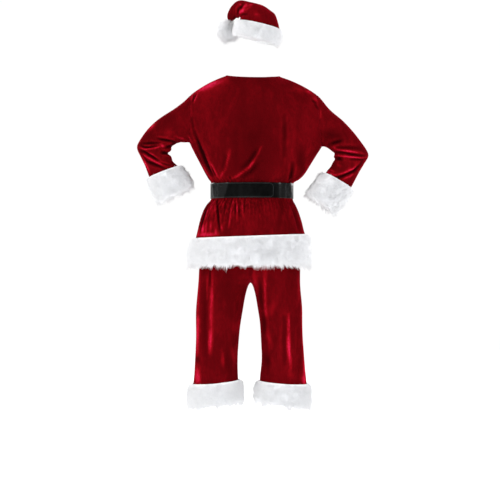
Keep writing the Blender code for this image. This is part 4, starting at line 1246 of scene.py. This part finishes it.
def tuft_tree():
    tree = bpy.data.node_groups.new("plush_tufts", "GeometryNodeTree")
    sockets = tree.interface
    sockets.new_socket("Geometry", in_out="INPUT", socket_type="NodeSocketGeometry")
    for name, value in HAIR.items():
        size = sockets.new_socket(name, in_out="INPUT", socket_type="NodeSocketFloat")
        size.default_value = value
    sockets.new_socket("Seed", in_out="INPUT", socket_type="NodeSocketInt")
    sockets.new_socket("Material", in_out="INPUT", socket_type="NodeSocketMaterial")
    sockets.new_socket("Geometry", in_out="OUTPUT", socket_type="NodeSocketGeometry")

    def add(kind, values, settings=None):
        made = tree.nodes.new(kind)
        for key, value in (settings or {}).items():
            setattr(made, key, value)
        for key, value in values.items():
            if isinstance(value, bpy.types.NodeSocket):
                tree.links.new(value, made.inputs[key])
            else:
                made.inputs[key].default_value = value
        return made.outputs

    def maths(operation, first, second):
        return add("ShaderNodeMath", {0: first, 1: second}, {"operation": operation})[0]

    def vector(operation, first, second):
        return add("ShaderNodeVectorMath", {0: first, 1: second}, {"operation": operation})[0]

    def scaled(first, scale):
        return add("ShaderNodeVectorMath", {0: first, "Scale": scale}, {"operation": "SCALE"})[0]

    given = tree.nodes.new("NodeGroupInput").outputs
    named = "GeometryNodeInputNamedAttribute"
    pile = add(named, {"Name": "pile"}, {"data_type": "FLOAT"})["Attribute"]
    long = add(named, {"Name": "long"}, {"data_type": "FLOAT"})["Attribute"]
    comb = add(named, {"Name": "comb"}, {"data_type": "FLOAT_VECTOR"})["Attribute"]
    density = maths("MULTIPLY", given["Density"], pile)
    spread = add(
        "GeometryNodeDistributePointsOnFaces",
        {"Mesh": given["Geometry"], "Density": density, "Seed": given["Seed"]},
        {"distribute_method": "RANDOM"},
    )
    slim = {"Vertices": 3, "Side Segments": 1}
    cone = add(
        "GeometryNodeMeshCone",
        {**slim, "Radius Top": 0.0, "Radius Bottom": 1.0, "Depth": 1.0},
        {"fill_type": "NONE"},
    )["Mesh"]
    clump = add("ShaderNodeTexNoise", {"Scale": 62.0, "Detail": 1.0})["Color"]
    clump = scaled(vector("SUBTRACT", clump, (0.5, 0.5, 0.5)), given["Clump"])
    low, high = (-0.35, -0.35, -0.35), (0.35, 0.35, 0.35)
    own = add(
        "FunctionNodeRandomValue",
        {0: low, 1: high, "Seed": given["Seed"]},
        {"data_type": "FLOAT_VECTOR"},
    )[0]
    droop = scaled(add("FunctionNodeInputVector", {}, {"vector": (0, 0, -1)})[0], given["Droop"])
    way = vector("ADD", vector("ADD", comb, droop), vector("ADD", clump, own))
    align = "FunctionNodeAlignRotationToVector"
    upright = add(align, {"Vector": way}, {"axis": "Z"})[0]
    turned = add(
        align,
        {"Rotation": upright, "Vector": (0, 0, -1)},
        {"axis": "X", "pivot_axis": "Z"},
    )[0]
    spans = {2: 0.60, 3: 1.15, "Seed": 5}
    reach = add("FunctionNodeRandomValue", spans, {"data_type": "FLOAT"})[1]
    reach = maths("MULTIPLY", maths("MULTIPLY", reach, given["Length"]), long)
    width = maths("MULTIPLY", given["Width"], maths("POWER", long, 1.5))
    size = add("ShaderNodeCombineXYZ", {"X": width, "Y": width, "Z": reach})[0]
    tufts = add(
        "GeometryNodeInstanceOnPoints",
        {"Points": spread["Points"], "Instance": cone, "Rotation": turned, "Scale": size},
    )[0]
    real = add("GeometryNodeRealizeInstances", {"Geometry": tufts})[0]
    soft = add("GeometryNodeSetShadeSmooth", {"Geometry": real})[0]
    painted = add("GeometryNodeSetMaterial", {"Geometry": soft, "Material": given["Material"]})[0]
    tree.links.new(painted, tree.nodes.new("NodeGroupOutput").inputs[0])
    return tree


TUFTS = tuft_tree()
print("tuft tree:", len(TUFTS.nodes), "nodes")

# %% Grow a piece of hair
def socket_id(tree, name):
    for item in tree.interface.items_tree:
        if item.name == name and item.in_out == "INPUT":
            return item.identifier


def grown(ground, name, tree, sizes):
    """A plain mesh of what the tree makes on the ground."""
    host = new_object(name, ground.data.copy())
    nodes = host.modifiers.new("hair", "NODES")
    nodes.node_group = tree
    for key, value in sizes.items():
        nodes[socket_id(tree, key)] = value
    graph = bpy.context.evaluated_depsgraph_get()
    made = bpy.data.meshes.new_from_object(host.evaluated_get(graph))
    bpy.data.objects.remove(host)
    made.name = name
    return new_object(name, made)


def settle(piece, node=None):
    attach(piece, "root")
    if node:
        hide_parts(node)


print("density is input", socket_id(TUFTS, "Density"))

# %% [markdown]
# ## Bands, front strip and pompom
# On the real suit every trim is cut from the same plush. So the same two steps, a ground and its
# hair, make every plush piece here. The strip down the front and the ball of the hat differ only
# in where their hair grows, and the ball's is longer and denser, as it is bunched up.

# %% Grow the plush
def dress(ground, node, hair_name, flat, seed, **changes):
    sizes = {**HAIR, **changes, "Seed": seed, "Material": plush_pile}
    hair = grown(ground, hair_name, TUFTS, sizes)
    settle(ground, node)
    settle(hair)
    half = sum(face.area for face in ground.data.polygons) / 2
    print(ground.name, round(half, 3), "square metres,", len(hair.data.polygons), "faces of hair")


for seed, (node, name, axis, flat, fringe) in enumerate(BANDS, 1):
    ground = make_ground(node, name, ring_pile(axis, fringe))
    dress(ground, node, name.replace("ground", "hair"), flat, seed)
strip = make_ground("jacket_front_plush", "strip_ground", strip_pile)
dress(strip, "jacket_front_plush", "strip_hair", (0.075, 0.66), 21)
ball = make_ground("hat_pompom", "pompom_ground", ball_pile)
dress(ball, "hat_pompom", "pompom_hair", None, 22, Length=0.018, Density=700000.0, Droop=0.35)

# %% [markdown]
# ## Belt
# The strap is one length of vinyl that laps over itself at the back. Its edges are turned and
# slightly rounded. They could be modelled loop by loop, but the solid's own corners with a small
# bevel, then smoothed once, give the same soft edge.

# %% Strap
EDGE_ROUND = 0.0005


def solid_copy(mesh, name, finish):
    data = written(mesh, name)
    data.materials.clear()
    return new_object(name, data, (finish,))


def round_edges(piece, segments, degrees):
    """A bevel on the edges that turn by more than that angle."""
    edge = piece.modifiers.new("round_edges", "BEVEL")
    edge.width = EDGE_ROUND
    edge.segments = segments
    edge.limit_method = "ANGLE"
    edge.angle_limit = math.radians(degrees)


strap_mesh = merged_copy("belt_strap")
quads(strap_mesh)
strap = solid_copy(strap_mesh, "strap", vinyl)
strap.data.shade_smooth()
round_edges(strap, 2, 50)
smooth = strap.modifiers.new("smooth", "SUBSURF")
smooth.levels = smooth.render_levels = 1
settle(strap, "belt_strap")
print("strap", len(strap.data.polygons), "faces before its edges are rounded")

# %% [markdown]
# ## Buckle
# The buckle is cast, so none of its edges is sharp. It is too small for smoothing as a whole,
# and its faces are flat, so only a small bevel on a copy of the solid catches the light along
# each edge.

# %% Buckle
buckle = solid_copy(merged_copy("belt_buckle"), "buckle", metal)
round_edges(buckle, 3, 30)
settle(buckle, "belt_buckle")
print("buckle", len(buckle.data.polygons), "faces before its edges are rounded")
